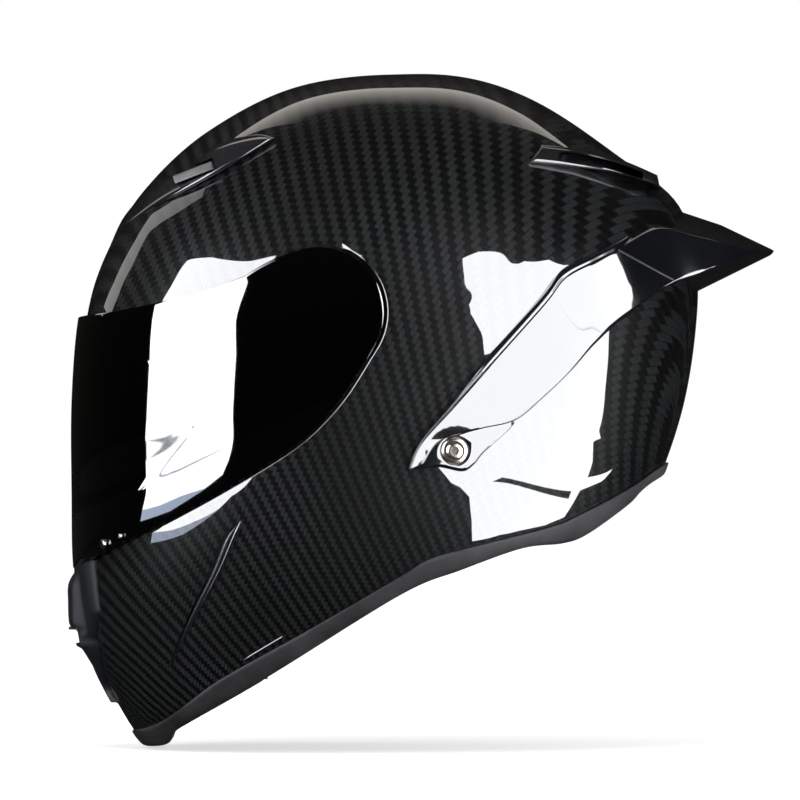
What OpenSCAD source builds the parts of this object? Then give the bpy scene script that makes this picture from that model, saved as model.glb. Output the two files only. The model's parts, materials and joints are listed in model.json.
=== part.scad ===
/* [Shell] */
// Length of the bare shell from brow to back
shell_length = 290; // [280:1:300]
// Height of the bare shell from chin tip to crown
shell_height = 315; // [305:1:325]
// Half width of the bare shell over the ears
half_width = 122; // [118:1:126]
// Wall of the outer shell
shell_wall = 3.5; // [3:0.5:4]
// Flatness of the sides towards front and back, where 2 is an ellipse
side_flatness = 3; // [2.9:0.05:3.1]
// Flatness of the sides towards the crown, where 2 is an ellipse
crown_flatness = 2.5; // [2.4:0.05:2.6]
// Height of the swelling beside and below the visor
swell = 4; // [3.5:0.5:5]

/* [Visor] */
// Wall of the visor
visor_wall = 2.2; // [2:0.1:2.6]
// Air between the visor and the shell under it
visor_air = 1.8; // [1.6:0.1:2.2]
// Radius of the round lobe at the visor pivot
lobe_r = 30; // [29:0.5:31]
// Gap round the visor in its pocket
visor_gap = 1.2; // [1:0.1:1.6]
// Radius of the pin that the visor turns on
pin_r = 7; // [6:0.5:8]
// Running clearance of the visor hub on its pin
pin_clear = 0.15; // [0.1:0.05:0.2]
// Outer radius of the visor hub
hub_r = 17; // [15:1:18]
// Thickness of the pivot plate
plate_h = 4; // [3.5:0.5:4.5]
// Thickness of the visor hub
hub_h = 3; // [2.5:0.5:3]

/* [Rim] */
// Thickness of the rubber trim outside the shell
trim_out = 1.4; // [1:0.2:1.8]
// Height of rubber under the edge of the shell
trim_floor = 3; // [2.5:0.5:4]
// Gap between pieces that lie against each other
seat_gap = 0.1; // [0.1:0.05:0.2]

/* [Linings] */
// Length of the head that the helmet fits
head_length = 200; // [194:1:204]
// Breadth of the head that the helmet fits
head_breadth = 158; // [152:1:162]
// Height of the crown of the head above the middle of the head
head_rise = 104; // [100:1:107]
// Thickness of the crown pad
crown_pad_h = 8; // [6:1:9]
// Gap between soft linings
soft_gap = 0.4; // [0.3:0.1:0.6]
// Half the space between the cheek pads
cheek_half_gap = 58; // [55:1:62]
// Half the distance between the cheek pads' outer faces
cheek_outer = 83; // [80:1:85]
// Thickness of the foam in the chin bar
chin_foam = 18; // [14:1:20]

/* [Vents] */
// Height of the brow vent housings over the shell
brow_h = 3; // [2.5:0.5:4]
// Height of the rear extractors over the shell
extractor_h = 6; // [5:0.5:7]
// Half width of the chin vent cover
chin_vent_half = 48; // [44:1:50]
// Half width of the chin intake
intake_half = 26; // [22:1:28]
// Travel of the chin vent shutter
shutter_travel = 6; // [5:0.5:7]
// Travel of the brow sliders
slider_travel = 6; // [5:0.5:7]

/* [Spoiler] */
// Height of the spoiler arms over the shell
arm_h = 5; // [4:0.5:6]
// Radius of the screw heads in the spoiler feet
screw_head_r = 6; // [5.5:0.25:6.5]
// Radius of the screw shanks
screw_r = 2.5; // [2:0.25:3]

/* [Strap] */
// Width of the webbing
strap_w = 24; // [22:1:25]
// Thickness of the webbing
strap_h = 2; // [1.6:0.2:2.4]
// Radius of the wire of the D-rings
ring_wire_r = 1.75; // [1.5:0.25:2]

/* [Hidden] */

// Side views are drawn as x backwards and z upwards, for a shell of these sizes
drawn_length = 290;
drawn_height = 315;
kx = shell_length / drawn_length;
kz = shell_height / drawn_height;
reach = 200;
around = 60;
across = 18;

function at(p) = [p[0] * kx, p[1] * kz];
function side(points) = [for (p = points) at(p)];
function ramp(x, low, high) = let (t = min(1, max(0, (x - low) / (high - low)))) t * t * (3 - 2 * t);

// A smooth curve through points
function bend(a, b, c, d, t) =
    0.5 * (2 * b + (c - a) * t + (2 * a - 5 * b + 4 * c - d) * t * t + (3 * b - 3 * c + d - a) * t * t * t);
function loop(p, steps) = let (n = len(p))
    [for (i = [0:n - 1]) for (k = [0:steps - 1])
        bend(p[(i + n - 1) % n], p[i], p[(i + 1) % n], p[(i + 2) % n], k / steps)];
function path(p, steps) = let (n = len(p))
    concat([for (i = [0:n - 2]) for (k = [0:steps - 1])
        bend(p[max(0, i - 1)], p[i], p[i + 1], p[min(n - 1, i + 2)], k / steps)], [p[n - 1]]);
function arc(centre, r, from, to, steps) =
    [for (i = [0:steps]) let (a = from + (to - from) * i / steps) centre + r * [cos(a), sin(a)]];

// The side outline of the shell without its swelling, closed below the rim
centre = at([-5, 38]);
outline = loop(side([
    [135, 52], [135.5, 79], [127.5, 108.5], [102, 129], [60, 156.5], [14, 171], [-44.5, 167], [-89.5, 145.5],
    [-120, 117.5], [-137, 89.5], [-146.5, 61], [-150.3, 20], [-150.6, -25], [-150.3, -57], [-146.5, -84],
    [-140, -104.5], [-127.5, -126], [-118, -139], [-100, -150], [-60, -152], [-20, -143], [20, -125],
    [60, -98], [92, -64], [110, -36], [121.5, -8], [130, 20]
]), 6);
outline_polar = [for (p = outline) for (turn = [-360, 0, 360]) let (v = p - centre)
    [atan2(v[1], v[0]) + turn, norm(v)]];
function outline_r(a) = lookup(a, outline_polar);
function flatness(a) = side_flatness + (crown_flatness - side_flatness) * pow(max(0, sin(a)), 2);

// The visor in side view, about its pivot
pivot = at([-37.5, 59]);
visor_top = path(side([[-172, 54.5], [-148.5, 58], [-131.5, 60], [-112.5, 63.5], [-94, 67.5],
    [-70.5, 76]]), 3);
visor_foot = path(side([[-14, 39.5], [-25, 22], [-35.5, 9.5], [-47, -1], [-66, -13.5], [-94, -29.5],
    [-121, -43], [-136.5, -51], [-153.5, -60], [-172, -69]]), 3);
visor_outline = concat(visor_top, arc(pivot, lobe_r, 112, -25, 20), visor_foot);
visor_polar = [for (p = visor_outline) let (v = p - pivot) [atan2(v[1], v[0] - 0.001), norm(v)]];

// The swelling rises behind and below the visor
function about_pivot(x, z) = atan2(z - pivot[1], x - pivot[0]);
function swell_share(x, z) = let (a = about_pivot(x, z)) ramp(a, -136, -110) * (1 - ramp(a, 45, 75));
function swell_outside(x, z) = swell * swell_share(x, z) * ramp(norm([x, z] - pivot), 4, 16);
function swell_inside(x, z) =
    let (past = norm([x, z] - pivot) - lookup(about_pivot(x, z), visor_polar))
    swell * swell_share(x, z) * ramp(past, 3, 20);
function rise(x, z, kind) = kind == "outside" ? swell_outside(x, z)
    : kind == "inside" ? swell_inside(x, z)
    : kind == "brow" ? brow_h * ramp(x, -128 * kx, -88 * kx)
    : kind == "extractor" ? swell_outside(x, z) + extractor_h * (0.35 + 0.65 * ramp(x, 60 * kx, 115 * kx))
    : 0;

// A point of the surface raised by h, from its direction a in side view and its turn b from the left ear
function skin_point(a, b, h, kind) =
    let (r = outline_r(a) * pow(sin(b), 2 / flatness(a)), x = r * cos(a), z = r * sin(a))
    let (v = [x, -half_width * cos(b), z], lift = h + rise(centre[0] + x, centre[1] + z, kind))
    [centre[0], 0, centre[1]] + v * (1 + lift / norm(v));

// Half width of the surface raised by h at a place in side view
function flat_y(v, k) = let (a = atan2(v[1], v[0]))
    half_width * sqrt(max(0.0001, 1 - pow(norm(v) * k / outline_r(a), flatness(a))));
function skin_y(p, h, kind) =
    let (v = p - centre, k = 1 - (h + rise(p[0], p[1], kind)) / norm([v[0], flat_y(v, 1), v[1]]))
    flat_y(v, k) / k;

// The solid inside the surface raised by h
module skin(h, kind, around = around, across = across) {
    rings = [for (j = [1:across - 1]) for (i = [0:around - 1])
        skin_point(360 * i / around, 180 * j / across, h, kind)];
    left = len(rings);
    ears = [skin_point(0, 0, h, kind), skin_point(0, 180, h, kind)];
    faces = concat(
        [for (j = [0:across - 3]) for (i = [0:around - 1])
            let (a = j * around + i, b = j * around + (i + 1) % around, c = b + around, d = a + around)
            each (j < across / 2 - 1 ? [[a, b, c], [a, c, d]] : [[a, b, d], [b, c, d]])],
        [for (i = [0:around - 1]) [left, (i + 1) % around, i]],
        [for (i = [0:around - 1]) let (j = (across - 2) * around) [left + 1, j + i, j + (i + 1) % around]]
    );
    polyhedron(points = concat(rings, ears), faces = faces);
}

// Everything within an outline in side view
module prism(points) {
    rotate([90, 0, 0]) linear_extrude(height = 2 * reach, center = true) polygon(points);
}

// The same, from the middle out to one side
module half_prism(points, left) {
    mirror([0, left ? 0 : 1, 0]) rotate([90, 0, 0]) linear_extrude(height = reach) polygon(points);
}

// One closed mesh of a free form
module moulded() {
    resize([0, 0, 0]) children();
}

module pivot_cylinder(r, from, to, left) {
    mirror([0, left ? 0 : 1, 0]) translate([pivot[0], -from, pivot[1]])
        rotate([90, 0, 0]) cylinder(r = r, h = to - from, $fn = 48);
}

// Bottom edge of the trim, its top edge and the edge of the shell, from front to back
trim_bottom = side([[-180, -143], [-115, -143], [-102.5, -133.5], [-61, -109], [0, -71], [28, -59.5],
    [56.5, -49.5], [75, -47.5], [86.5, -43.5], [106, -30], [118, -19.5], [150, -5]]);
trim_top = side([[-180, -135.5], [-122.5, -135.5], [-82.5, -110], [-40, -86], [0, -62.5], [14.5, -54],
    [36.5, -48], [70, -39.5], [83.5, -34], [106, -22.5], [124.5, -11], [150, 1]]);
function lifted(points, h) = [for (p = points) p + [0, h]];
function backwards(points) = [for (i = [len(points) - 1:-1:0]) points[i]];
function above(points, h) = concat(lifted(points, h), [[reach, reach], [-reach, reach]]);
function between(low, high) = concat(low, backwards(high));

shell_edge = lifted(trim_bottom, trim_floor);
port = loop(side([[-185, 43], [-160, 44], [-130, 48], [-98, 51], [-78, 48], [-68, 38], [-66, 22], [-72, 5],
    [-89, -12], [-122, -30.5], [-155, -46], [-185, -55]]), 3);
gill = path(side([[-73, -36.5], [-83, -52], [-92, -69], [-99, -90], [-107.5, -106], [-95, -88], [-86, -64],
    [-77, -44]]), 2);
gill_depth = 1.6;

// Places of the vents
brow_outline = concat(
    path(side([[-136, 92], [-130, 99], [-117.5, 107], [-98.5, 116], [-80, 126], [-57.5, 140]]), 3),
    path(side([[-58, 142], [-67, 142], [-86.5, 137.5], [-98, 127], [-116, 119], [-129, 106]]), 3));
slider_front = at([-105, 121]);
slider_back = at([-87, 127.5]);
slider_half = 2.6;
extractor_outline = concat(
    path(side([[59.5, 128.5], [80, 126.5], [98, 124], [112, 120.5], [121.5, 117]]), 3),
    path(side([[121, 124.5], [104, 131], [88, 135], [65.5, 137]]), 3));
extractor_slot = side([[72.5, 129.5], [90, 127.5], [113, 121.5], [113, 125], [96, 130.5], [80, 133.5],
    [74, 133.5]]);
chin_vent_outline = side([[-139, -55.5], [-149.5, -59], [-155.5, -66.5], [-155.5, -86], [-153.5, -89],
    [-152, -96.5], [-149.5, -98], [-143, -108], [-141, -107.5], [-136.5, -118], [-133.5, -121.5],
    [-132, -123], [-137.5, -113], [-141, -96], [-141.5, -90], [-138, -72]]);
cover_h = 3;
cover_nose_h = 9;
cover_nose_half = 32;
intake_top = -87.5 * kz;
intake_h = shutter_travel + 2;
shutter_x = -151.6 * kx;
shutter_wall = 2.2;
shutter_h = 12.5;
shutter_lip = 1.5;
slide_gap = 0.35;

// The spoiler foot and its screw
foot_screw = at([25, -4.5]);
foot_outline = side([[4, -13.5], [9, -3], [19, 1], [27, 4], [53, 9.5], [38.5, -5.5], [34, -11], [28.5, -14],
    [17, -12]]);
foot_h = 2.6;
head_sunk = 1.4;
head_h = 2.8;
foot_y = skin_y(foot_screw, 0, "outside");

// The least half width of a surface within r of a place in side view
function least_y(p, r, h, kind) = min([for (a = [0:15:345]) skin_y(p + r * [cos(a), sin(a)], h, kind)]);

// Where the visor hub and the pivot plate lie across the helmet
lobe_floor_y = least_y(pivot, lobe_r, visor_air, "flat") - 1.5;
hub_out_y = least_y(pivot, hub_r, visor_air, "flat") - 0.8;
hub_in_y = hub_out_y - hub_h;
plate_out_y = hub_in_y - 0.3;
plate_in_y = plate_out_y - plate_h;
cup_wall = 1.5;
cup_floor = 3;
plate_r = hub_r + 3;
cup_r = plate_r + 0.4;
plate_screw_r = 1.75;
plate_screw_at = 13;

module skin_out(h) { skin(h, "outside"); }
module skin_in(h) { skin(-shell_wall - h, "inside", 48, 16); }
module skin_flat(h) { skin(h, "flat"); }

module below_rim() {
    prism(concat(shell_edge, [[reach, -reach], [-reach, -reach]]));
}

module grown_prism(points, r) {
    rotate([90, 0, 0]) linear_extrude(height = 2 * reach, center = true)
        offset(r = r, $fn = 12) polygon(points);
}

module both_sides() {
    children();
    mirror([0, 1, 0]) children();
}

module foot_bore(r, from, to, $fn = 32) {
    translate([foot_screw[0], -from, foot_screw[1]]) rotate([90, 0, 0]) cylinder(r = r, h = to - from);
}

module pivot_cups(r, from) {
    for (left = [true, false]) pivot_cylinder(r, from, reach, left);
}

module at_plate_screws(from) {
    for (turn = [55, 235])
        translate([pivot[0] + plate_screw_at * cos(turn), -from, pivot[1] + plate_screw_at * sin(turn)])
            rotate([90, 0, 0]) children();
}

module intake(x) {
    translate([-reach, -intake_half, intake_top - intake_h]) cube([reach + x, 2 * intake_half, intake_h]);
}

module outer_shell() {
    color("#16181b") moulded() difference() {
        union() {
            difference() {
                skin_out(0);
                skin_in(0);
                difference() {
                    grown_prism(visor_outline, visor_gap);
                    skin_flat(0);
                }
            }
            intersection() {
                skin_in(-1);
                union() {
                    pivot_cups(cup_r + cup_wall, plate_in_y - cup_floor);
                    pivot_cups(lobe_r + visor_gap + cup_wall, lobe_floor_y - cup_floor);
                }
            }
        }
        pivot_cups(lobe_r + visor_gap, lobe_floor_y);
        pivot_cups(cup_r, plate_in_y);
        prism(port);
        below_rim();
        both_sides() difference() {
            half_prism(gill, true);
            skin_out(-gill_depth);
        }
        both_sides() foot_bore(screw_r + 0.2, 60, reach, $fn = 20);
        both_sides() at_plate_screws(60) cylinder(r = plate_screw_r + 0.15, h = reach, $fn = 16);
        intake(-125);
    }
}

module rim_trim() {
    color("#3b3c3e") moulded() difference() {
        intersection() {
            skin_out(trim_out);
            prism(between(trim_bottom, trim_top));
        }
        skin_in(trim_out);
        difference() {
            intersection() {
                skin_out(seat_gap);
                prism(above(shell_edge, -seat_gap));
            }
            skin_in(seat_gap);
        }
    }
}

module eyeport_gasket() {
    color("#1c1c1e") moulded() difference() {
        intersection() {
            skin_flat(visor_air - slide_gap);
            grown_prism(port, 5);
        }
        grown_prism(port, -3);
        skin(-shell_wall - 2, "flat");
        difference() {
            skin_flat(seat_gap);
            grown_prism(port, -seat_gap);
        }
    }
}

// Thicknesses of the linings and the holes in them
cheek_back = 6;
liner_clear = 7;
roll_h = 26;
guard_half = 42;
guard_wall = 2.2;
curtain_back = -62;
curtain_half_h = 1;
curtain_hole = [52, 74];
curtain_hole_x = -28;

// The space round the head, grown by g
head_centre = [-2, 0, 28];
neck_drop = 120;
module head(g) {
    translate(head_centre) {
        scale([head_length / 2 + g, head_breadth / 2 + g, head_rise + g]) sphere(r = 1, $fn = 30);
        translate([0, 0, -neck_drop])
            scale([head_length / 2 + g, head_breadth / 2 + g, neck_drop])
            cylinder(r = 1, h = 1, $fn = 30);
    }
}

liner_outline = side([[-reach, 56], [-130, 58], [-94, 61], [-72, 58], [-60, 46], [-58, 20], [-62, 8],
    [-50, -12], [20, -12], [48, -14], [53, -32], [70, -28], [92, -18], [110, 0], [124, 12],
    [reach, 30], [reach, reach], [-reach, reach]]);
cheek_outline = side([[-104.5, -33], [-88, -22], [-74, -8], [-64, 1], [-59, 0], [-50, -12.5], [17, -12.5],
    [18, -31], [0, -41], [-40, -64], [-61, -83], [-104.5, -116]]);
chin_outline = side([[-170, -57], [-140, -49], [-122, -40], [-105, -33.5], [-105, -121.5], [-112, -127],
    [-118, -131], [-170, -131]]);

module eps_liner() {
    color("#2a2b2d") moulded() difference() {
        intersection() {
            skin_in(soft_gap);
            prism(liner_outline);
        }
        head(crown_pad_h + soft_gap);
        pivot_cups(cup_r + cup_wall + soft_gap, plate_in_y - cup_floor - soft_gap);
        pivot_cups(lobe_r + visor_gap + cup_wall + soft_gap, lobe_floor_y - cup_floor - soft_gap);
        both_sides() foot_bore(liner_clear, foot_y - 2 * liner_clear, reach);
    }
}

module cheek_block(outside) {
    intersection() {
        skin_in(outside);
        half_prism(cheek_outline, true);
    }
}

module eps_cheek() {
    color("#2a2b2d") moulded() difference() {
        cheek_block(soft_gap);
        intersection() {
            skin_in(cheek_back + soft_gap);
            translate([-reach, -cheek_outer - soft_gap, -reach]) cube([2 * reach, reach, 2 * reach]);
        }
    }
}

module cheek_pad() {
    color("#1d1d20") moulded() intersection() {
        skin_in(cheek_back + 2 * soft_gap);
        half_prism(cheek_outline, true);
        translate([-reach, -cheek_outer, -reach]) cube([2 * reach, cheek_outer - cheek_half_gap, 2 * reach]);
    }
}

module eps_chin() {
    color("#2a2b2d") moulded() difference() {
        intersection() {
            skin_in(soft_gap);
            prism(chin_outline);
        }
        skin_in(chin_foam);
        intake(-100);
    }
}

module crown_pad() {
    color("#202024") moulded() difference() {
        intersection() {
            head(crown_pad_h);
            translate([-94, -reach, 34]) cube([2 * reach, 2 * reach, reach]);
        }
        head(0);
    }
}

roll_outline = side([[50, -45.5], [75, -42.5], [86.5, -38.5], [106, -25], [118, -14.5], [150, 0], [150, 19],
    [124, 11.5], [110, -0.5], [92, -18.5], [70, -28.5], [52.5, -32.5]]);
module neck_roll() {
    color("#202024") moulded() difference() {
        intersection() {
            skin_in(trim_out + soft_gap);
            prism(roll_outline);
        }
        skin_in(roll_h);
    }
}

module chin_curtain() {
    color("#151516") moulded() difference() {
        intersection() {
            skin_in(trim_out + soft_gap);
            prism(between(lifted(trim_bottom, 0.2 - curtain_half_h),
                lifted(trim_bottom, 0.2 + curtain_half_h)));
            translate([-reach, -reach, -reach]) cube([reach + curtain_back, 2 * reach, reach]);
        }
        translate([curtain_hole_x, 0, -reach]) scale([curtain_hole[0], curtain_hole[1], 1])
            cylinder(r = 1, h = reach, $fn = 40);
    }
}

guard_outline = side([[-145, -30], [-122, -24], [-106, -24], [-106, -58], [-122, -82], [-145, -86]]);
module breath_guard() {
    color("#1a1a1c") moulded() difference() {
        intersection() {
            skin_in(chin_foam + soft_gap);
            prism(guard_outline);
            translate([-reach, -guard_half, -reach]) cube([reach, 2 * guard_half, 2 * reach]);
        }
        skin_in(chin_foam + soft_gap + guard_wall);
    }
}

module pivot_plate() {
    color("#2c2d30") difference() {
        union() {
            pivot_cylinder(plate_r, plate_in_y + seat_gap, plate_out_y, true);
            pivot_cylinder(pin_r, plate_out_y - 0.5, hub_out_y - 0.2, true);
        }
        at_plate_screws(60) cylinder(r = plate_screw_r + 0.15, h = reach, $fn = 24);
        at_plate_screws(plate_out_y - 1.8) cylinder(r = plate_screw_r + 1.6, h = reach, $fn = 24);
    }
}

module pivot_screws() {
    color("#8f9296") both_sides() {
        at_plate_screws(plate_in_y - cup_floor)
            cylinder(r = plate_screw_r, h = plate_h + cup_floor - 1, $fn = 24);
        at_plate_screws(plate_out_y - 1.75) cylinder(r = plate_screw_r + 1.5, h = 1.5, $fn = 24);
    }
}

// Points on the outside of the visor, with the surface's own direction
function outward(p, h) = let (e = 0.5)
    let (gx = (skin_y(p + [e, 0], h, "flat") - skin_y(p - [e, 0], h, "flat")) / (2 * e))
    let (gz = (skin_y(p + [0, e], h, "flat") - skin_y(p - [0, e], h, "flat")) / (2 * e))
    [-gx, -1, -gz] / norm([gx, 1, gz]);
visor_h = visor_air + visor_wall;
lock_spot = at([-136.5, -48]);
post_spot = at([-128.5, -44]);

module on_visor(p) {
    n = outward(p, visor_h);
    translate([p[0], -skin_y(p, visor_h, "flat"), p[1]]) rotate([0, acos(n[2]), atan2(n[1], n[0])])
        children();
}

lock_r = 2.3;
post_r = 1.2;
module visor() {
    color("#0b0b0f") moulded() difference() {
        union() {
            difference() {
                intersection() {
                    skin_flat(visor_h);
                    prism(visor_outline);
                }
                skin_flat(visor_air);
            }
            intersection() {
                skin_flat(visor_air + 0.5);
                pivot_cups(hub_r, hub_out_y + seat_gap);
            }
        }
        on_visor(lock_spot) cylinder(r = lock_r / 2 + seat_gap, h = 12, center = true, $fn = 16);
        both_sides() on_visor(post_spot) cylinder(r = post_r / 2 + seat_gap, h = 12, center = true, $fn = 12);
    }
}

module visor_hub() {
    color("#26272a") difference() {
        pivot_cylinder(hub_r, hub_in_y, hub_out_y, true);
        pivot_cylinder(pin_r + pin_clear, 60, reach, true);
    }
}

module visor_lock_pin() {
    color("#d5d7da") on_visor(lock_spot) {
        translate([0, 0, seat_gap]) cylinder(r = lock_r, h = 1.8, $fn = 32);
        translate([0, 0, -visor_wall - 0.6]) cylinder(r = lock_r / 2, h = visor_wall + 1.4, $fn = 32);
    }
}

module tearoff_posts() {
    color("#9a9ca0") both_sides() on_visor(post_spot) {
        translate([0, 0, seat_gap]) cylinder(r = post_r, h = 1.4, $fn = 24);
        translate([0, 0, -visor_wall - 0.4]) cylinder(r = post_r / 2, h = visor_wall + 1, $fn = 24);
    }
}

// A bar in side view from one point to another, with a half width
function bar(a, b, half) = let (d = (b - a) / norm(b - a), n = [-d[1], d[0]] * half)
    [a - n, b - n, b + n, a + n];
slide_side = slider_back - slider_front;
slide_across = skin_y(slider_back, 0, "flat") - skin_y(slider_front, 0, "flat");
slide_line = [slide_side[0], -slide_across, slide_side[1]];
slide_axis = -slide_line / norm(slide_line);
slot_front = slider_front + [slide_axis[0], slide_axis[2]] * slider_travel;
slot_run = (slider_back - slot_front) / norm(slider_back - slot_front);
slot_floor = 1.6;
slider_floor = slot_floor + 0.7;
slider_top = brow_h + 1.6;

module brow_vent() {
    color("#232427") moulded() difference() {
        intersection() {
            skin(0.5, "brow");
            half_prism(brow_outline, true);
            translate([-reach, -reach - 4, -reach]) cube([2 * reach, reach, 2 * reach]);
        }
        skin_out(seat_gap);
        difference() {
            half_prism(bar(slot_front - slot_run, slider_back + 0.6 * slot_run, slider_half + 0.5), true);
            skin_flat(slot_floor);
        }
    }
}

module brow_slider() {
    color("#c9ccd0") moulded() difference() {
        intersection() {
            skin_flat(slider_top);
            half_prism(bar(slider_front, slider_back, slider_half), true);
        }
        skin_flat(slider_floor);
    }
}

module rear_extractor() {
    color("#2b2c2f") moulded() difference() {
        intersection() {
            skin(0, "extractor");
            half_prism(extractor_outline, true);
            translate([-reach, -reach - 3, -reach]) cube([2 * reach, reach, 2 * reach]);
        }
        skin_out(seat_gap);
        difference() {
            half_prism(extractor_slot, true);
            skin_out(1.2);
        }
    }
}

module chin_vent_cover() {
    shutter_half = intake_half + 2;
    color("#1f2226") moulded() difference() {
        intersection() {
            prism(chin_vent_outline);
            union() {
                skin_out(cover_h);
                intersection() {
                    skin_out(cover_nose_h);
                    translate([-reach, -cover_nose_half, -reach])
                        cube([reach, 2 * cover_nose_half, 2 * reach]);
                }
            }
            translate([-reach, -chin_vent_half, -reach]) cube([reach, 2 * chin_vent_half, 2 * reach]);
        }
        skin_out(seat_gap);
        intake(-125);
        translate([shutter_x - slide_gap, -shutter_half - slide_gap, intake_top - intake_h])
            cube([shutter_wall + 2 * slide_gap, 2 * (shutter_half + slide_gap),
                intake_h + shutter_h - shutter_lip + slide_gap]);
    }
}

module chin_vent_shutter() {
    shutter_half = intake_half + 2;
    low = intake_top - shutter_lip;
    color("#3a3d42") union() {
        translate([shutter_x, -shutter_half, low]) cube([shutter_wall, 2 * shutter_half, shutter_h]);
        translate([shutter_x - 4, -7, low]) cube([4.5, 14, 1.3]);
    }
}

// The spoiler as five long curves on one side: seat, crown, ridge, lower edge and root
function on_arm(p, h) = [p[0], -skin_y(p, h, "outside"), p[1]];
function arm_row(ridge, edge) = [on_arm(at(ridge), -2.5), on_arm(at(ridge), arm_h - 0.6),
    on_arm(at(ridge * 0.88 + edge * 0.12), arm_h), on_arm(at(edge), arm_h * 0.7), on_arm(at(edge), -2.5)];
function wing_row(seat, crown, ridge, edge, root) =
    [for (p = [seat, crown, ridge, edge, root]) [p[0] * kx, -p[1] * half_width / 122, p[2] * kz]];
spoiler_rows = [
    wing_row([124, 0, 110], [151, 0, 101], [176, 0, 89], [174.5, 0, 87], [132, 0, 66]),
    wing_row([122, 26, 107], [147, 26, 99.5], [168, 28, 88.4], [166.5, 28, 86.2], [128, 26, 67]),
    wing_row([116, 42, 103], [137, 44, 98.5], [154, 48, 91.2], [155, 49, 83.5], [120, 44, 68]),
    wing_row([108, 54, 100], [124, 56, 98.5], [137, 60, 95.2], [144, 63, 79.5], [112, 58, 66]),
    wing_row([102, 64, 98], [113, 67, 99], [120, 70, 98.5], [128, 73, 73.5], [104, 68, 62]),
    arm_row([101.5, 92], [109.5, 61.5]),
    arm_row([89, 85.5], [98, 53]),
    arm_row([75, 78], [89, 44.5]),
    arm_row([65.5, 66], [79, 33]),
    arm_row([42, 39.5], [66, 20.5]),
    arm_row([33, 29], [52.5, 9.5]),
    arm_row([24, 17.5], [37, 5.5]),
    arm_row([9, -1], [18.5, 0]),
    arm_row([4, -13], [11, -10])
];

// A closed tube of sections, each with as many corners
module lofted(sections) {
    n = len(sections);
    m = len(sections[0]);
    last = m * (n - 1);
    points = [for (section = sections) for (p = section) p];
    faces = concat(
        [for (i = [0:n - 2]) for (k = [0:m - 1])
            let (a = m * i + k, b = m * i + (k + 1) % m) each [[a, b, a + m], [b, b + m, a + m]]],
        [for (k = [1:m - 2]) [k + 1, k, 0]],
        [for (k = [1:m - 2]) [last, last + k, last + k + 1]]
    );
    polyhedron(points = points, faces = faces);
}

module spoiler_half() {
    corners = len(spoiler_rows[0]);
    curves = [for (k = [0:corners - 1]) path([for (row = spoiler_rows) row[k]], 2)];
    lofted([for (i = [0:len(curves[0]) - 1]) [for (k = [0:corners - 1]) curves[k][i]]]);
}

module spoiler() {
    color("#1a1b1e") moulded() difference() {
        both_sides() union() {
            spoiler_half();
            intersection() {
                skin_out(foot_h);
                half_prism(foot_outline, true);
            }
        }
        skin_out(seat_gap);
        both_sides() foot_bore(screw_r + 0.2, 60, reach, $fn = 20);
        both_sides() foot_bore(screw_head_r + 0.3, foot_y + head_sunk, reach);
    }
}

module spoiler_screws() {
    nut_y = foot_y - shell_wall - 1.9;
    color("#b9aaa0") both_sides() {
        difference() {
            union() {
                foot_bore(screw_head_r, foot_y + head_sunk + seat_gap, foot_y + head_sunk + head_h);
                foot_bore(screw_r, nut_y - 4.5, foot_y + head_sunk + 0.5);
            }
            foot_bore(2.6, foot_y + head_sunk + head_h - 1.6, reach, $fn = 6);
        }
        difference() {
            foot_bore(5.2, nut_y - 4, nut_y, $fn = 6);
            foot_bore(screw_r + 0.1, 60, reach, $fn = 32);
        }
    }
}

// The chin strap, drawn on the left side from its anchor to the middle
strap_route = [for (p = [[33, -102, -16], [32, -101, -30], [25, -93, -43], [6, -75, -54],
    [-13, -54, -63], [-30, -30, -71.5], [-35, 0, -75.5]]) [p[0] * kx, p[1] * half_width / 122, p[2] * kz]];
function unit(v) = v / norm(v);
function flat_width(t) = unit([1, 0, 0] - t[0] * t);
function strap_line(route, i) = unit(route[min(len(route) - 1, i + 1)] - route[max(0, i - 1)]);

module webbing(route, widths = []) {
    corners = [[-1, 1], [1, 1], [1, -1], [-1, -1]];
    lofted([for (i = [0:len(route) - 1])
        let (t = strap_line(route, i), w = i < len(widths) ? widths[i] : flat_width(t))
        [for (c = corners) route[i] + w * c[0] * strap_w / 2 + cross(t, w) * c[1] * strap_h / 2]]);
}

function mirrored(route) = [for (p = route) [p[0], -p[1], p[2]]];
half_route = path(strap_route, 3);
whole_route = concat(half_route, [for (i = [len(half_route) - 2:-1:0]) mirrored(half_route)[i]]);

// Two rings lie in a loop at the end of the left strap: x runs along their bars and y along the strap
ring_step = 13;
ring_half = strap_w / 2 + 4;
ring_bar_r = ring_wire_r + 0.25;
ring_apart = ring_bar_r + 0.15;
ring_loop_r = ring_bar_r + 0.3;
ring_y = strap_line(half_route, ring_step);
ring_x = flat_width(ring_y);
ring_z = cross(ring_x, ring_y);
ring_place = half_route[ring_step] + ring_y * (ring_loop_r + strap_h - 0.6);
function ring_point(y, z) = ring_place + ring_y * y + ring_z * z;

module at_ring() {
    rows = [for (i = [0:2]) [ring_x[i], ring_y[i], ring_z[i], ring_place[i]]];
    multmatrix(concat(rows, [[0, 0, 0, 1]])) children();
}

module ring_loop(r, w) {
    hull() for (z = [-ring_apart, ring_apart]) translate([0, 0, z]) rotate([0, 90, 0])
        cylinder(r = r, h = w, center = true, $fn = 16);
}

module strap_left() {
    color("#1b1b1d") moulded() difference() {
        union() {
            webbing([for (i = [0:ring_step]) half_route[i]]);
            at_ring() ring_loop(ring_loop_r + strap_h, strap_w - 1);
        }
        at_ring() ring_loop(ring_loop_r, strap_w + 2);
    }
}

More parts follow.
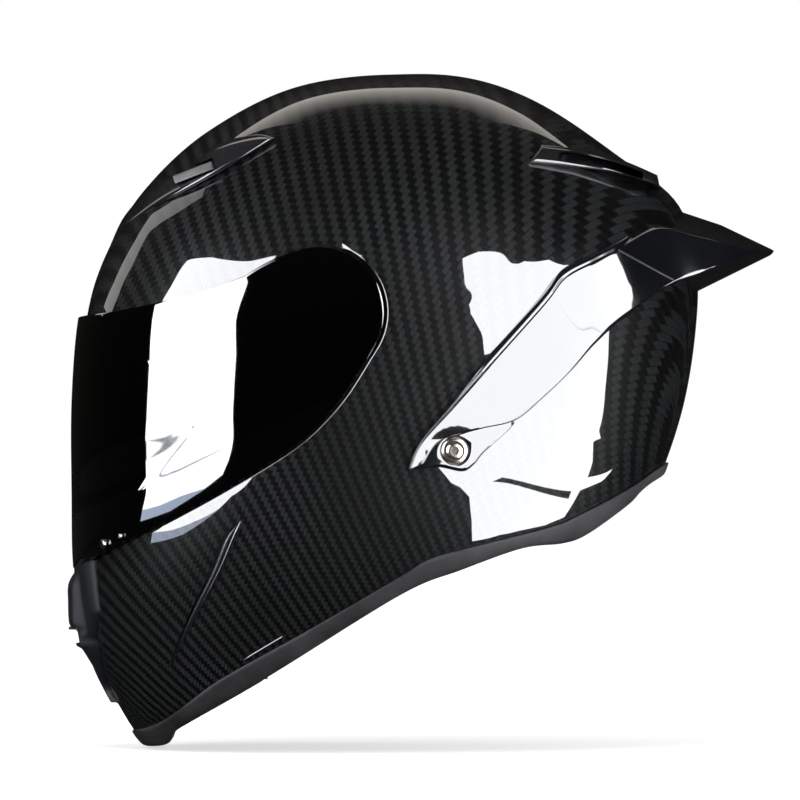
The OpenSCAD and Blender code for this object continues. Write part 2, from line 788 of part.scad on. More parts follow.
// The right strap comes in over the rings, passes through both and folds back under them
fold_in = ring_loop_r + strap_h + strap_h / 2 + 0.6;
fold_z = ring_apart + ring_bar_r + strap_h / 2 + 0.3;
fold_half = [[fold_in, 0], [fold_in, fold_z - 2], [fold_in + 1.9, fold_z - 0.3], [12, fold_z],
    [20, fold_z]];
fold = concat([[27, -fold_z - 0.6], [23.5, -fold_z]], [for (i = [4:-1:1]) [fold_half[i][0], -fold_half[i][1]]],
    fold_half);
module strap_right() {
    fold_route = [for (p = fold) ring_point(p[0], p[1])];
    color("#1b1b1d") moulded() webbing(
        concat(fold_route, [for (i = [ring_step + 5:len(whole_route) - 1]) whole_route[i]]),
        [for (p = fold) ring_x]);
}

module d_rings() {
    color("#c4c6c9") at_ring() for (z = [-ring_apart, ring_apart]) translate([0, 0, z]) {
        rotate([0, 90, 0])
            cylinder(r = ring_bar_r, h = 2 * (ring_half + ring_wire_r + 0.5), center = true, $fn = 24);
        rotate_extrude(angle = 180, $fn = 48) translate([ring_half, 0]) circle(r = ring_wire_r, $fn = 24);
    }
}

anchor_wall = 1.6;
anchor_r = 3;
module strap_anchors() {
    top = half_route[0];
    out_y = -half_route[1][1] + strap_h / 2 + 0.3;
    rivet = [top[0], top[2] - 4];
    rivet_end = least_y(rivet, anchor_r, -shell_wall, "inside") - 0.9;
    color("#9da0a4") both_sides() {
        translate([top[0] - 9, -out_y - anchor_wall, top[2] - 9]) cube([18, anchor_wall, 10]);
        translate([rivet[0], -out_y - anchor_wall / 2, rivet[1]]) rotate([90, 0, 0])
            cylinder(r = anchor_r, h = rivet_end - out_y - anchor_wall / 2, $fn = 24);
    }
}

mesh_wires = 9;
mesh_w = 1.2;
mesh_x = -142.5 * kx;
module chin_vent_mesh() {
    half = intake_half - 0.1;
    low = intake_top - intake_h + 0.1;
    high = intake_top - 0.1;
    pitch = (2 * half - mesh_w) / (mesh_wires + 1);
    color("#44474b") translate([mesh_x, 0, 0]) {
        for (i = [0:mesh_wires + 1]) translate([0, i * pitch - half, low]) cube([mesh_w, mesh_w, high - low]);
        translate([0, -half, low]) cube([mesh_w, 2 * half, 1]);
        translate([0, -half, high - 1]) cube([mesh_w, 2 * half, 1]);
    }
}

outer_shell();
rim_trim();
eyeport_gasket();
eps_liner();
eps_chin();
eps_cheek();  // eps_cheek_left
mirror([0, 1, 0]) eps_cheek();  // eps_cheek_right
crown_pad();
cheek_pad();  // cheek_pad_left
mirror([0, 1, 0]) cheek_pad();  // cheek_pad_right
neck_roll();
chin_curtain();
breath_guard();
pivot_plate();  // pivot_plate_left
mirror([0, 1, 0]) pivot_plate();  // pivot_plate_right
pivot_screws();
visor();
visor_hub();  // visor_hub_left
mirror([0, 1, 0]) visor_hub();  // visor_hub_right
visor_lock_pin();
tearoff_posts();
brow_vent();  // brow_vent_left
mirror([0, 1, 0]) brow_vent();  // brow_vent_right
brow_slider();  // brow_slider_left
mirror([0, 1, 0]) brow_slider();  // brow_slider_right
rear_extractor();  // rear_extractor_left
mirror([0, 1, 0]) rear_extractor();  // rear_extractor_right
chin_vent_cover();
chin_vent_shutter();
chin_vent_mesh();
spoiler();
spoiler_screws();
strap_left();
strap_right();
strap_anchors();
d_rings();
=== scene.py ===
"""The looks of a full face motorcycle helmet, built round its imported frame.

Every piece is drawn in millimetres on the free form of the helmet's skin and kept in metres.
X runs backwards and Z upwards, and the wearer's left side is at negative Y.
"""

from __future__ import annotations

import json
import logging
import math
from collections.abc import Iterator, Sequence
from contextlib import contextmanager
from dataclasses import dataclass, field
from enum import Enum

import bpy
import numpy as np
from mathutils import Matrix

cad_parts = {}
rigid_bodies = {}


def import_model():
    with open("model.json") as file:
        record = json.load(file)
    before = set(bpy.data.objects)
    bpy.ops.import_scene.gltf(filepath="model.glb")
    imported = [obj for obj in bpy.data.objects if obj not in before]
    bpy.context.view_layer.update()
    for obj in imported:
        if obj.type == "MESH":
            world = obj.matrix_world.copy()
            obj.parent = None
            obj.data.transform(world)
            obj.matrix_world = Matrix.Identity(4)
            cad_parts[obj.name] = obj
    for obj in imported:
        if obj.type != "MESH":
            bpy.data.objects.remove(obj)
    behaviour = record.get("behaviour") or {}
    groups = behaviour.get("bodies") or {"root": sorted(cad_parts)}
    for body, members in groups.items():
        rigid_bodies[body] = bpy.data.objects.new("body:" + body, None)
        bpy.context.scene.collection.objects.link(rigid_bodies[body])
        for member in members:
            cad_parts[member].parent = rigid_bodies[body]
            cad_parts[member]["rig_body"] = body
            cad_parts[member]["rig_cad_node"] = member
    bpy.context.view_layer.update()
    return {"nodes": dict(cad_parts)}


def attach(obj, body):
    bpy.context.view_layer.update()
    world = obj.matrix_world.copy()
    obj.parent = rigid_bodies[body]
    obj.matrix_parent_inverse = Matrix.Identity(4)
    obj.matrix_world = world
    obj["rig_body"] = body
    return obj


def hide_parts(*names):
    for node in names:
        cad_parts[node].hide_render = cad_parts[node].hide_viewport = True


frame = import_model()

MM = 0.001
LOG = logging.getLogger("helmet")
Line = Sequence[Sequence[float]]
Colour = tuple[float, float, float]


class Rise(Enum):
    """How far a surface swells out from the bare skin."""

    FLAT = "flat"
    OUTSIDE = "outside"
    BROW = "brow"
    EXTRACTOR = "extractor"


def ramp(value: np.ndarray, low: float, high: float) -> np.ndarray:
    """Rises smoothly from 0 at low to 1 at high."""
    share = np.clip((np.asarray(value, float) - low) / (high - low), 0, 1)
    return share * share * (3 - 2 * share)


def bend(points: Line, steps: int, closed: bool = False) -> np.ndarray:
    """Draws a smooth curve through points.

    Args:
        points: The points that the curve goes through.
        steps: How many pieces each stretch between two points has.
        closed: Whether the curve comes back to its first point.

    Returns:
        The points along the curve.
    """
    known = np.asarray(points, float)
    count = len(known)
    first = np.arange(count if closed else count - 1)

    def at(index: np.ndarray) -> np.ndarray:
        """The known points at these places, one stretch a row."""
        place = index % count if closed else np.clip(index, 0, count - 1)
        return known[place][:, None, :]

    a, b, c, d = at(first - 1), at(first), at(first + 1), at(first + 2)
    t = (np.arange(steps) / steps)[None, :, None]
    curve = 0.5 * (2 * b + (c - a) * t + (2 * a - 5 * b + 4 * c - d) * t**2 + (3 * b - 3 * c + d - a) * t**3)
    curve = curve.reshape(-1, known.shape[1])
    return curve if closed else np.vstack([curve, known[-1:]])


def travelled(line: np.ndarray) -> np.ndarray:
    """How far along a line each of its points lies."""
    return np.concatenate([[0], np.cumsum(np.linalg.norm(np.diff(line, axis=0), axis=1))])


def evenly(line: np.ndarray, places: np.ndarray) -> np.ndarray:
    """Points on a line at shares of its length.

    Args:
        line: The line's points.
        places: The shares, from 0 to 1.

    Returns:
        A point for each share.
    """
    line = np.asarray(line, float)
    length = travelled(line)
    columns = [np.interp(places * length[-1], length, column) for column in line.T]
    return np.stack(columns, axis=1)


def beside(line: np.ndarray, distance: float) -> np.ndarray:
    """The same line, moved to its left by a distance.

    Args:
        line: The line's points.
        distance: How far it moves.

    Returns:
        The moved points.
    """
    line = np.asarray(line, float)
    run = np.gradient(line, axis=0)
    run /= np.linalg.norm(run, axis=1)[:, None] + 1e-9
    return line + distance * np.stack([-run[:, 1], run[:, 0]], axis=1)


def polar(line: np.ndarray, about: Sequence[float]) -> tuple[np.ndarray, np.ndarray]:
    """A line's angles in degrees and distances about a point, in order of angle.

    Args:
        line: The line's points.
        about: The point.

    Returns:
        The angles and the distances.
    """
    v = np.asarray(line, float) - np.asarray(about, float)
    angle = np.degrees(np.arctan2(v[:, 1], v[:, 0]))
    order = np.argsort(angle)
    return angle[order], np.hypot(v[:, 0], v[:, 1])[order]


@dataclass
class Skin:
    """The free form that the shell and all that lies on it follow."""

    half_width: float = 122.0
    side_flatness: float = 3.0
    crown_flatness: float = 2.5
    swell: float = 4.0
    brow_height: float = 3.0
    extractor_height: float = 6.0
    brow_run: tuple[float, float] = (-128.0, -88.0)
    swell_start: tuple[float, float] = (-136.0, -110.0)
    swell_end: tuple[float, float] = (45.0, 75.0)
    swell_reach: tuple[float, float] = (4.0, 16.0)
    extractor_run: tuple[float, float] = (60.0, 115.0)
    extractor_least: float = 0.35
    fine: int = 900
    centre: tuple[float, float] = (-5.0, 38.0)
    pivot: tuple[float, float] = (-37.5, 59.0)
    outline: Line = (
        (135, 52), (135.5, 79), (127.5, 108.5), (102, 129), (60, 156.5), (14, 171), (-44.5, 167),
        (-89.5, 145.5), (-120, 117.5), (-137, 89.5), (-146.5, 61), (-150.3, 20), (-150.6, -25),
        (-150.3, -57), (-146.5, -84), (-140, -104.5), (-127.5, -126), (-118, -139), (-100, -150),
        (-60, -152), (-20, -143), (20, -125), (60, -98), (92, -64), (110, -36), (121.5, -8), (130, 20),
    )
    angles: np.ndarray = field(init=False)
    radii: np.ndarray = field(init=False)

    def __post_init__(self) -> None:
        """Works out the side outline's distance from the centre in every direction."""
        angle, radius = polar(bend(self.outline, 12, closed=True), self.centre)
        self.angles = np.arange(-180, 180, 0.5)
        even = np.interp(self.angles, angle, radius, period=360)
        reach = np.arange(-8, 9)
        weight = np.exp(-0.5 * (reach / 2.5) ** 2)
        self.radii = sum(w * np.roll(even, k) for w, k in zip(weight / weight.sum(), reach))

    def edge(self, angle: np.ndarray) -> np.ndarray:
        """Distance of the side outline from the centre at angles in degrees."""
        return np.interp(angle, self.angles, self.radii, period=360)

    def share(self, x: np.ndarray, z: np.ndarray) -> np.ndarray:
        """How far a place in side view is on its way from the centre, 0, to the outline, 1."""
        v = np.asarray(x) - self.centre[0], np.asarray(z) - self.centre[1]
        return np.hypot(*v) / self.edge(np.degrees(np.arctan2(v[1], v[0])))

    def flatness(self, angle: np.ndarray) -> np.ndarray:
        """How flat the skin is in directions in radians, where 2 is an ellipse."""
        crown = np.maximum(0, np.sin(angle)) ** 2
        return self.side_flatness + (self.crown_flatness - self.side_flatness) * crown

    def bare_y(self, x: np.ndarray, z: np.ndarray) -> np.ndarray:
        """Half width of the bare skin at a place in side view.

        Args:
            x: Places in side view, backwards.
            z: The same places, upwards.

        Returns:
            The half widths.
        """
        angle = np.arctan2(np.asarray(z) - self.centre[1], np.asarray(x) - self.centre[0])
        share = np.minimum(self.share(x, z), 1)
        return self.half_width * np.sqrt(np.maximum(0, 1 - share ** self.flatness(angle)))

    def rise(self, x: np.ndarray, z: np.ndarray, kind: Rise) -> np.ndarray:
        """Height of a kind of surface over the bare skin.

        Args:
            x: Places in side view, backwards.
            z: The same places, upwards.
            kind: The kind of surface.

        Returns:
            The heights.
        """
        if kind is Rise.FLAT:
            return np.zeros(np.broadcast(x, z).shape)
        if kind is Rise.BROW:
            return self.brow_height * ramp(x, *self.brow_run) + 0 * z
        v = np.asarray(x) - self.pivot[0], np.asarray(z) - self.pivot[1]
        angle = np.degrees(np.arctan2(v[1], v[0]))
        outside = self.swell * ramp(angle, *self.swell_start) * (1 - ramp(angle, *self.swell_end))
        outside = outside * ramp(np.hypot(*v), *self.swell_reach)
        if kind is Rise.EXTRACTOR:
            least = self.extractor_least
            return outside + self.extractor_height * (least + (1 - least) * ramp(x, *self.extractor_run))
        return outside

    def lift(self, x: np.ndarray, z: np.ndarray, height: np.ndarray, kind: Rise) -> np.ndarray:
        """Points over the bare skin's own places, as x, y and z on the left side.

        Args:
            x: Places in side view, backwards.
            z: The same places, upwards.
            height: Height over the surface.
            kind: The kind of surface.

        Returns:
            The points.
        """
        y = self.bare_y(x, z)
        v = np.stack(np.broadcast_arrays(x - self.centre[0], -y, z - self.centre[1]), axis=-1).astype(float)
        grown = 1 + (height + self.rise(x, z, kind)) / np.linalg.norm(v, axis=-1)
        return v * grown[..., None] + np.array([self.centre[0], 0, self.centre[1]])

    def under(
        self, x: np.ndarray, z: np.ndarray, height: np.ndarray, kind: Rise,
    ) -> tuple[np.ndarray, np.ndarray]:
        """The bare skin's place that a raised place in side view stands over.

        Args:
            x: Places in side view, backwards.
            z: The same places, upwards.
            height: Height over the surface.
            kind: The kind of surface.

        Returns:
            The places on the bare skin, backwards and upwards.
        """
        base_x, base_z = np.array(x, float), np.array(z, float)
        for _ in range(8):
            at = self.lift(base_x, base_z, height, kind)
            base_x = base_x + x - at[..., 0]
            base_z = base_z + z - at[..., 2]
        return base_x, base_z

    def on(
        self, x: np.ndarray, z: np.ndarray, height: np.ndarray | float = 0.0, kind: Rise = Rise.OUTSIDE,
    ) -> np.ndarray:
        """Points of the surface raised by a height at places in side view.

        Args:
            x: Places in side view, backwards.
            z: The same places, upwards.
            height: Height over the surface.
            kind: The kind of surface.

        Returns:
            The points as x, y and z on the left side.
        """
        base_x, base_z = self.under(x, z, height, kind)
        found = self.lift(base_x, base_z, height, kind)
        found[..., 0], found[..., 2] = x, z
        return found

    def rim(self, height: float, kind: Rise) -> np.ndarray:
        """Where the raised surface meets the middle of the helmet, in side view.

        Args:
            height: Height over the surface.
            kind: The kind of surface.

        Returns:
            The line's points as x and z.
        """
        turn = np.radians(self.angles)
        x = self.centre[0] + self.radii * np.cos(turn)
        z = self.centre[1] + self.radii * np.sin(turn)
        return self.lift(x, z, height, kind)[:, [0, 2]]

    def row(
        self, line: np.ndarray, height: float, kind: Rise, count: int, ends: tuple[bool, bool],
    ) -> np.ndarray:
        """A row of points on the surface along a line in side view.

        Args:
            line: The line, which may run past the outline where an end is open.
            height: Height of the row over the surface.
            kind: The surface that the row lies on.
            count: How many points the row has.
            ends: Whether the row runs out to the middle of the helmet, at its start and its end.

        Returns:
            The row's points as x, y and z, with y exactly 0 where it meets the middle.
        """
        fine = evenly(line, np.linspace(0, 1, self.fine))
        base_x, base_z = self.under(fine[:, 0], fine[:, 1], height, kind)
        inside = np.nonzero(self.share(base_x, base_z) < 1)[0]
        start = inside[0] / (self.fine - 1) if ends[0] else 0.0
        stop = inside[-1] / (self.fine - 1) if ends[1] else 1.0
        t = np.linspace(0, 1, count)
        if ends[0] and ends[1]:
            t = (1 - np.cos(np.pi * t)) / 2
        elif ends[0]:
            t = t * t
        elif ends[1]:
            t = 1 - (1 - t) ** 2
        at = evenly(line, start + (stop - start) * t)
        points = self.on(at[:, 0], at[:, 1], height, kind)
        if ends[0]:
            points[0, 1] = 0
        if ends[1]:
            points[-1, 1] = 0
        return points


SKIN = Skin()


class Bench:
    """The modelling operators that every sub-assembly uses."""

    @staticmethod
    def take(obj: bpy.types.Object) -> None:
        """Selects one object alone and makes it active.

        Args:
            obj: The object.
        """
        if bpy.context.object and bpy.context.object.mode != "OBJECT":
            bpy.ops.object.mode_set(mode="OBJECT")
        bpy.ops.object.select_all(action="DESELECT")
        obj.select_set(True)
        bpy.context.view_layer.objects.active = obj

    @staticmethod
    def fresh(name: str) -> bpy.types.Object:
        """Names the primitive that was just added and leaves it selected alone.

        Args:
            name: Its name.

        Returns:
            The primitive.
        """
        obj = bpy.context.object
        obj.name = obj.data.name = name
        Bench.take(obj)
        return obj

    @staticmethod
    def grid(name: str, points: np.ndarray, uv: np.ndarray | None = None) -> bpy.types.Object:
        """Adds a grid and shapes it to rows of points.

        Args:
            name: The new object's name.
            points: The places of its vertices in millimetres, as rows by columns by 3.
            uv: The pattern's place at each vertex, as rows by columns by 2.

        Returns:
            The new object.
        """
        bpy.ops.object.select_all(action="DESELECT")
        rows, columns = points.shape[:2]
        bpy.ops.mesh.primitive_grid_add(x_subdivisions=columns - 1, y_subdivisions=rows - 1, size=1)
        obj = Bench.fresh(name)
        obj.data.vertices.foreach_set("co", (points * MM).astype(np.float32).ravel())
        if uv is not None:
            Bench.unwrap(obj, uv.reshape(-1, 2))
        obj.data.update()
        return obj

    @staticmethod
    def unwrap(obj: bpy.types.Object, uv: np.ndarray) -> None:
        """Gives every vertex's corners its own place in the pattern.

        Args:
            obj: The mesh object.
            uv: The place at each vertex.
        """
        corner = np.zeros(len(obj.data.loops), np.int32)
        obj.data.loops.foreach_get("vertex_index", corner)
        layer = obj.data.uv_layers.active or obj.data.uv_layers.new(name="UVMap")
        layer.data.foreach_set("uv", uv[corner].astype(np.float32).ravel())

    @staticmethod
    @contextmanager
    def editing(obj: bpy.types.Object, everything: bool = True) -> Iterator[None]:
        """Opens a mesh for editing, with all of it or nothing selected, and closes it again.

        Args:
            obj: The mesh object.
            everything: Whether all of it is selected.

        Returns:
            The time while it is open, for a with statement.
        """
        Bench.take(obj)
        bpy.ops.object.mode_set(mode="EDIT")
        bpy.ops.mesh.select_all(action="SELECT" if everything else "DESELECT")
        yield
        bpy.ops.object.mode_set(mode="OBJECT")

    @staticmethod
    def weld(obj: bpy.types.Object, distance: float) -> None:
        """Merges vertices that lie within a distance in millimetres and drops flat faces.

        Args:
            obj: The mesh object.
            distance: The distance.
        """
        with Bench.editing(obj):
            bpy.ops.mesh.remove_doubles(threshold=distance * MM)
            bpy.ops.mesh.dissolve_degenerate(threshold=distance * MM * 0.5)

    @staticmethod
    def outward(obj: bpy.types.Object) -> None:
        """Turns a closed shape's faces outwards."""
        with Bench.editing(obj):
            bpy.ops.mesh.normals_make_consistent(inside=False)

    @staticmethod
    def capped(obj: bpy.types.Object) -> None:
        """Closes a shape's open ends and turns its faces outwards.

        Args:
            obj: The mesh object.
        """
        with Bench.editing(obj, everything=False):
            bpy.ops.mesh.select_non_manifold()
            bpy.ops.mesh.edge_face_add()
        Bench.outward(obj)

    @staticmethod
    def away(obj: bpy.types.Object, centre: Sequence[float]) -> None:
        """Turns an open sheet's faces away from a point in millimetres.

        Args:
            obj: The mesh object.
            centre: The point.
        """
        Bench.outward(obj)
        total = 0.0
        for face in obj.data.polygons:
            out = face.center / MM
            total += face.area * sum(face.normal[k] * (out[k] - centre[k]) for k in range(3))
        if total < 0:
            obj.data.flip_normals()

    @staticmethod
    def modify(obj: bpy.types.Object, kind: str, **settings: object) -> None:
        """Adds a modifier with these settings and applies it.

        Args:
            obj: The mesh object.
            kind: The modifier's type.
            settings: Its properties.
        """
        Bench.take(obj)
        modifier = obj.modifiers.new(kind.title(), kind)
        for key, value in settings.items():
            setattr(modifier, key, value)
        bpy.ops.object.modifier_apply(modifier=modifier.name)

    @staticmethod
    def both_halves(obj: bpy.types.Object) -> None:
        """Adds the mirrored half and joins it at the middle."""
        Bench.modify(
            obj, "MIRROR", use_axis=(False, True, False), use_mirror_merge=True, merge_threshold=0.05 * MM,
        )

    @staticmethod
    def wall(obj: bpy.types.Object, thickness: float) -> None:
        """Thickens a sheet inwards by millimetres."""
        Bench.modify(obj, "SOLIDIFY", thickness=thickness * MM, offset=-1, use_even_offset=False)

    @staticmethod
    def round_edges(obj: bpy.types.Object, width: float, segments: int = 3, angle: float = 35) -> None:
        """Rounds the edges that are sharper than an angle."""
        Bench.modify(
            obj, "BEVEL", width=width * MM, segments=segments, limit_method="ANGLE",
            angle_limit=math.radians(angle), use_clamp_overlap=True,
        )

    @staticmethod
    def cut(obj: bpy.types.Object, cutter: bpy.types.Object) -> None:
        """Takes one shape out of another, and removes it."""
        Bench.modify(obj, "BOOLEAN", operation="DIFFERENCE", solver="EXACT", object=cutter)
        bpy.data.objects.remove(cutter)

    @staticmethod
    def smooth(obj: bpy.types.Object, angle: float = 35) -> None:
        """Shades smooth, with edges sharper than an angle kept crisp."""
        Bench.take(obj)
        bpy.ops.object.shade_smooth_by_angle(angle=math.radians(angle))

    @staticmethod
    def twin(obj: bpy.types.Object, name: str) -> bpy.types.Object:
        """Makes the mirrored piece for the right side.

        Args:
            obj: The left piece.
            name: The new object's name.

        Returns:
            The right piece.
        """
        other = obj.copy()
        other.data = obj.data.copy()
        other.name = other.data.name = name
        bpy.context.collection.objects.link(other)
        place = np.zeros(len(other.data.vertices) * 3, np.float32)
        other.data.vertices.foreach_get("co", place)
        place[1::3] *= -1
        other.data.vertices.foreach_set("co", place)
        other.data.flip_normals()
        other.data.update()
        return other

    @staticmethod
    def join(parts: Sequence[bpy.types.Object]) -> bpy.types.Object:
        """Joins parts into the first.

        Args:
            parts: The parts.

        Returns:
            The first part, with all the others in it.
        """
        Bench.take(parts[0])
        for part in parts[1:]:
            part.select_set(True)
        bpy.ops.object.join()
        return parts[0]

    @staticmethod
    def prism(name: str, outline: np.ndarray, start: float, stop: float) -> bpy.types.Object:
        """A filled side-view outline, extruded from one y to another.

        Args:
            name: The new object's name.
            outline: The outline's points as x and z.
            start: The first y.
            stop: The last y.

        Returns:
            The new object.
        """
        bpy.ops.object.select_all(action="DESELECT")
        bpy.ops.mesh.primitive_circle_add(vertices=len(outline), fill_type="NGON")
        obj = Bench.fresh(name)
        flat = np.stack([outline[:, 0], np.full(len(outline), start), outline[:, 1]], axis=1)
        obj.data.vertices.foreach_set("co", (flat * MM).astype(np.float32).ravel())
        with Bench.editing(obj):
            bpy.ops.mesh.extrude_region_move(TRANSFORM_OT_translate={"value": (0, (stop - start) * MM, 0)})
        Bench.outward(obj)
        return obj

    @staticmethod
    def box(name: str, place: Sequence[float], size: Sequence[float]) -> bpy.types.Object:
        """Models a plain box.

        Args:
            name: The new object's name.
            place: Its middle in millimetres.
            size: Its sides in millimetres.

        Returns:
            The new object.
        """
        bpy.ops.object.select_all(action="DESELECT")
        bpy.ops.mesh.primitive_cube_add(size=1)
        obj = Bench.fresh(name)
        bpy.ops.transform.resize(value=tuple(side * MM for side in size))
        bpy.ops.transform.translate(value=tuple(way * MM for way in place))
        bpy.ops.object.transform_apply(location=True, rotation=True, scale=True)
        return obj

    @staticmethod
    def ring_of(name: str, rows: Sequence[np.ndarray]) -> bpy.types.Object:
        """A tube whose rows come back to the first, mirrored at the middle.

        Args:
            name: The new object's name.
            rows: The left half's rows of points.

        Returns:
            The new object.
        """
        obj = Bench.grid(name, np.stack([*rows, rows[0]]))
        Bench.weld(obj, 0.01)
        Bench.both_halves(obj)
        Bench.outward(obj)
        return obj

    @staticmethod
    def swept(
        name: str, route: np.ndarray, across: np.ndarray, section: np.ndarray,
        sizes: np.ndarray | float = 1.0,
    ) -> bpy.types.Object:
        """A closed bar of one section along a route.

        Args:
            name: The new object's name.
            route: The points that it follows.
            across: The way of the section's first axis, one for all points or one for each.
            section: The section's outline, in millimetres.
            sizes: How large the section is, one for all points or one for each.

        Returns:
            The new object, with its pattern laid round and along it in millimetres.
        """
        run = np.gradient(route, axis=0)
        run /= np.linalg.norm(run, axis=1)[:, None]
        wide = np.broadcast_to(across, route.shape)
        wide = wide - (wide * run).sum(axis=1)[:, None] * run
        wide = wide / np.linalg.norm(wide, axis=1)[:, None]
        tall = np.cross(run, wide)
        ring = np.vstack([section, section[:1]])
        grown = ring[None] * np.broadcast_to(sizes, len(route))[:, None, None]
        points = route[:, None] + grown[..., :1] * wide[:, None] + grown[..., 1:] * tall[:, None]
        pattern = np.stack(np.meshgrid(travelled(ring), travelled(route)), axis=-1)
        obj = Bench.grid(name, points, pattern)
        Bench.weld(obj, 0.004)
        Bench.capped(obj)
        Bench.smooth(obj, 50)
        return obj

    @staticmethod
    def round_section(radius: float, sides: int = 10) -> np.ndarray:
        """A round section."""
        turn = np.linspace(0, 2 * np.pi, sides, endpoint=False)
        return radius * np.stack([np.cos(turn), np.sin(turn)], axis=1)

    @staticmethod
    def copy_of(node: str, name: str) -> bpy.types.Object:
        """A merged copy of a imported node's mesh.

        Args:
            node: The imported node.
            name: The new object's name.

        Returns:
            The copy.
        """
        obj = frame["nodes"][node].copy()
        obj.data = obj.data.copy()
        obj.name = obj.data.name = name
        obj.parent = None
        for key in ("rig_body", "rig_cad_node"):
            if key in obj:
                del obj[key]
        obj.data.materials.clear()
        bpy.context.collection.objects.link(obj)
        Bench.weld(obj, 0.002)
        return obj


@dataclass(frozen=True)
class Patch:
    """A housing that stands on the skin between two lines in side view."""

    low: Line
    high: Line
    height: float
    edge: float = 3.0
    floor: float = -0.4
    kind: Rise = Rise.OUTSIDE
    tilt: float = 0.0
    columns: int = 60
    rows: int = 24
    steps: int = 12

    def build(self, name: str) -> bpy.types.Object:
        """Models the left housing as a closed shape with round edges.

        Args:
            name: The new object's name.

        Returns:
            The new object.
        """
        u = (1 - np.cos(np.linspace(0, np.pi, self.columns))) / 2
        v = (1 - np.cos(np.linspace(0, np.pi, self.rows))) / 2
        low = evenly(bend(self.low, self.steps), u)
        high = evenly(bend(self.high, self.steps), u)
        flat = low[None] + (high - low)[None] * v[:, None, None]
        across = np.linalg.norm(high - low, axis=1)[None]
        along = np.linalg.norm(np.diff(low, axis=0), axis=1).sum()
        side = np.minimum(v, 1 - v)[:, None] * across
        end = np.minimum(u, 1 - u)[None] * along
        near = np.minimum(np.minimum(side, end) / self.edge, 1)
        full = self.height + self.tilt * v[:, None] * (1 - ramp(u, 0.2, 0.42))[None]
        height = self.floor + (full - self.floor) * np.sqrt(1 - (1 - near) ** 2)
        base = self.kind if self.kind in (Rise.FLAT, Rise.OUTSIDE) else Rise.OUTSIDE
        rise = SKIN.rise(flat[..., 0], flat[..., 1], self.kind) - SKIN.rise(flat[..., 0], flat[..., 1], base)
        top = height + np.where(near > 0, rise * np.sqrt(1 - (1 - near) ** 2), 0)
        points = SKIN.on(flat[..., 0], flat[..., 1], top, base)
        under = SKIN.on(flat[..., 0], flat[..., 1], self.floor, base)
        obj = Bench.grid(name, np.concatenate([points, under[::-1]]))
        Bench.weld(obj, 0.01)
        Bench.outward(obj)
        Bench.smooth(obj, 40)
        return obj


class Nodes:
    """A node tree that is put together step by step."""

    def __init__(self, tree: bpy.types.NodeTree) -> None:
        """Works on this tree."""
        self.tree = tree

    def add(self, kind: str, inputs: dict | None = None, **settings: object) -> bpy.types.Node:
        """Adds a node.

        Args:
            kind: The node's type, without its ShaderNode prefix where it has one.
            inputs: A value, or a socket to link, for each named or numbered input.
            settings: The node's own properties.

        Returns:
            The new node.
        """
        node = self.tree.nodes.new(kind if kind.startswith("Node") else "ShaderNode" + kind)
        for key, value in settings.items():
            setattr(node, key, value)
        self.put(node, inputs or {})
        return node

    def put(self, node: bpy.types.Node, inputs: dict) -> None:
        """Sets a node's inputs, or links them where they are given a socket.

        Args:
            node: The node.
            inputs: A value or a socket for each named or numbered input.
        """
        for key, value in inputs.items():
            if isinstance(value, bpy.types.NodeSocket):
                self.tree.links.new(value, node.inputs[key])
            else:
                node.inputs[key].default_value = value

    def maths(self, operation: str, *values: object) -> bpy.types.NodeSocket:
        """Adds a Math node and gives its result."""
        return self.add("Math", dict(enumerate(values)), operation=operation).outputs[0]

    def between(self, share: object, low: Colour, high: Colour) -> bpy.types.NodeSocket:
        """Mixes two colours by a share."""
        inputs = {0: share, 6: (*low, 1), 7: (*high, 1)}
        return self.add("Mix", inputs, data_type="RGBA").outputs[2]

    def span(
        self, value: object, low: float, high: float, start: float = 0, stop: float = 1,
    ) -> bpy.types.NodeSocket:
        """Maps a value from one range to another, held at its ends."""
        return self.add("MapRange", {0: value, 1: low, 2: high, 3: start, 4: stop}).outputs[0]


def emptied(owner: bpy.types.Material | bpy.types.World) -> Nodes:
    """Gives a material or a world an empty node tree.

    Args:
        owner: The material or the world.

    Returns:
        Its nodes.
    """
    owner.use_nodes = True
    owner.node_tree.nodes.clear()
    return Nodes(owner.node_tree)


def group(
    name: str, inputs: dict[str, object], outputs: Sequence[str],
) -> tuple[bpy.types.NodeTree, Nodes, dict]:
    """Starts a node group that puts out values.

    Args:
        name: The group's name.
        inputs: The default of each named input, where None is a vector.
        outputs: The names of the values that it puts out.

    Returns:
        The group, its nodes, and the sockets of its inputs by name.
    """
    tree = bpy.data.node_groups.new(name, "ShaderNodeTree")
    for key, value in inputs.items():
        kind = "NodeSocketVector" if value is None else "NodeSocketFloat"
        socket = tree.interface.new_socket(name=key, in_out="INPUT", socket_type=kind)
        if value is not None:
            socket.default_value = value
    for key in outputs:
        tree.interface.new_socket(name=key, in_out="OUTPUT", socket_type="NodeSocketFloat")
    nodes = Nodes(tree)
    entry = nodes.add("NodeGroupInput")
    return tree, nodes, {key: entry.outputs[key] for key in inputs}


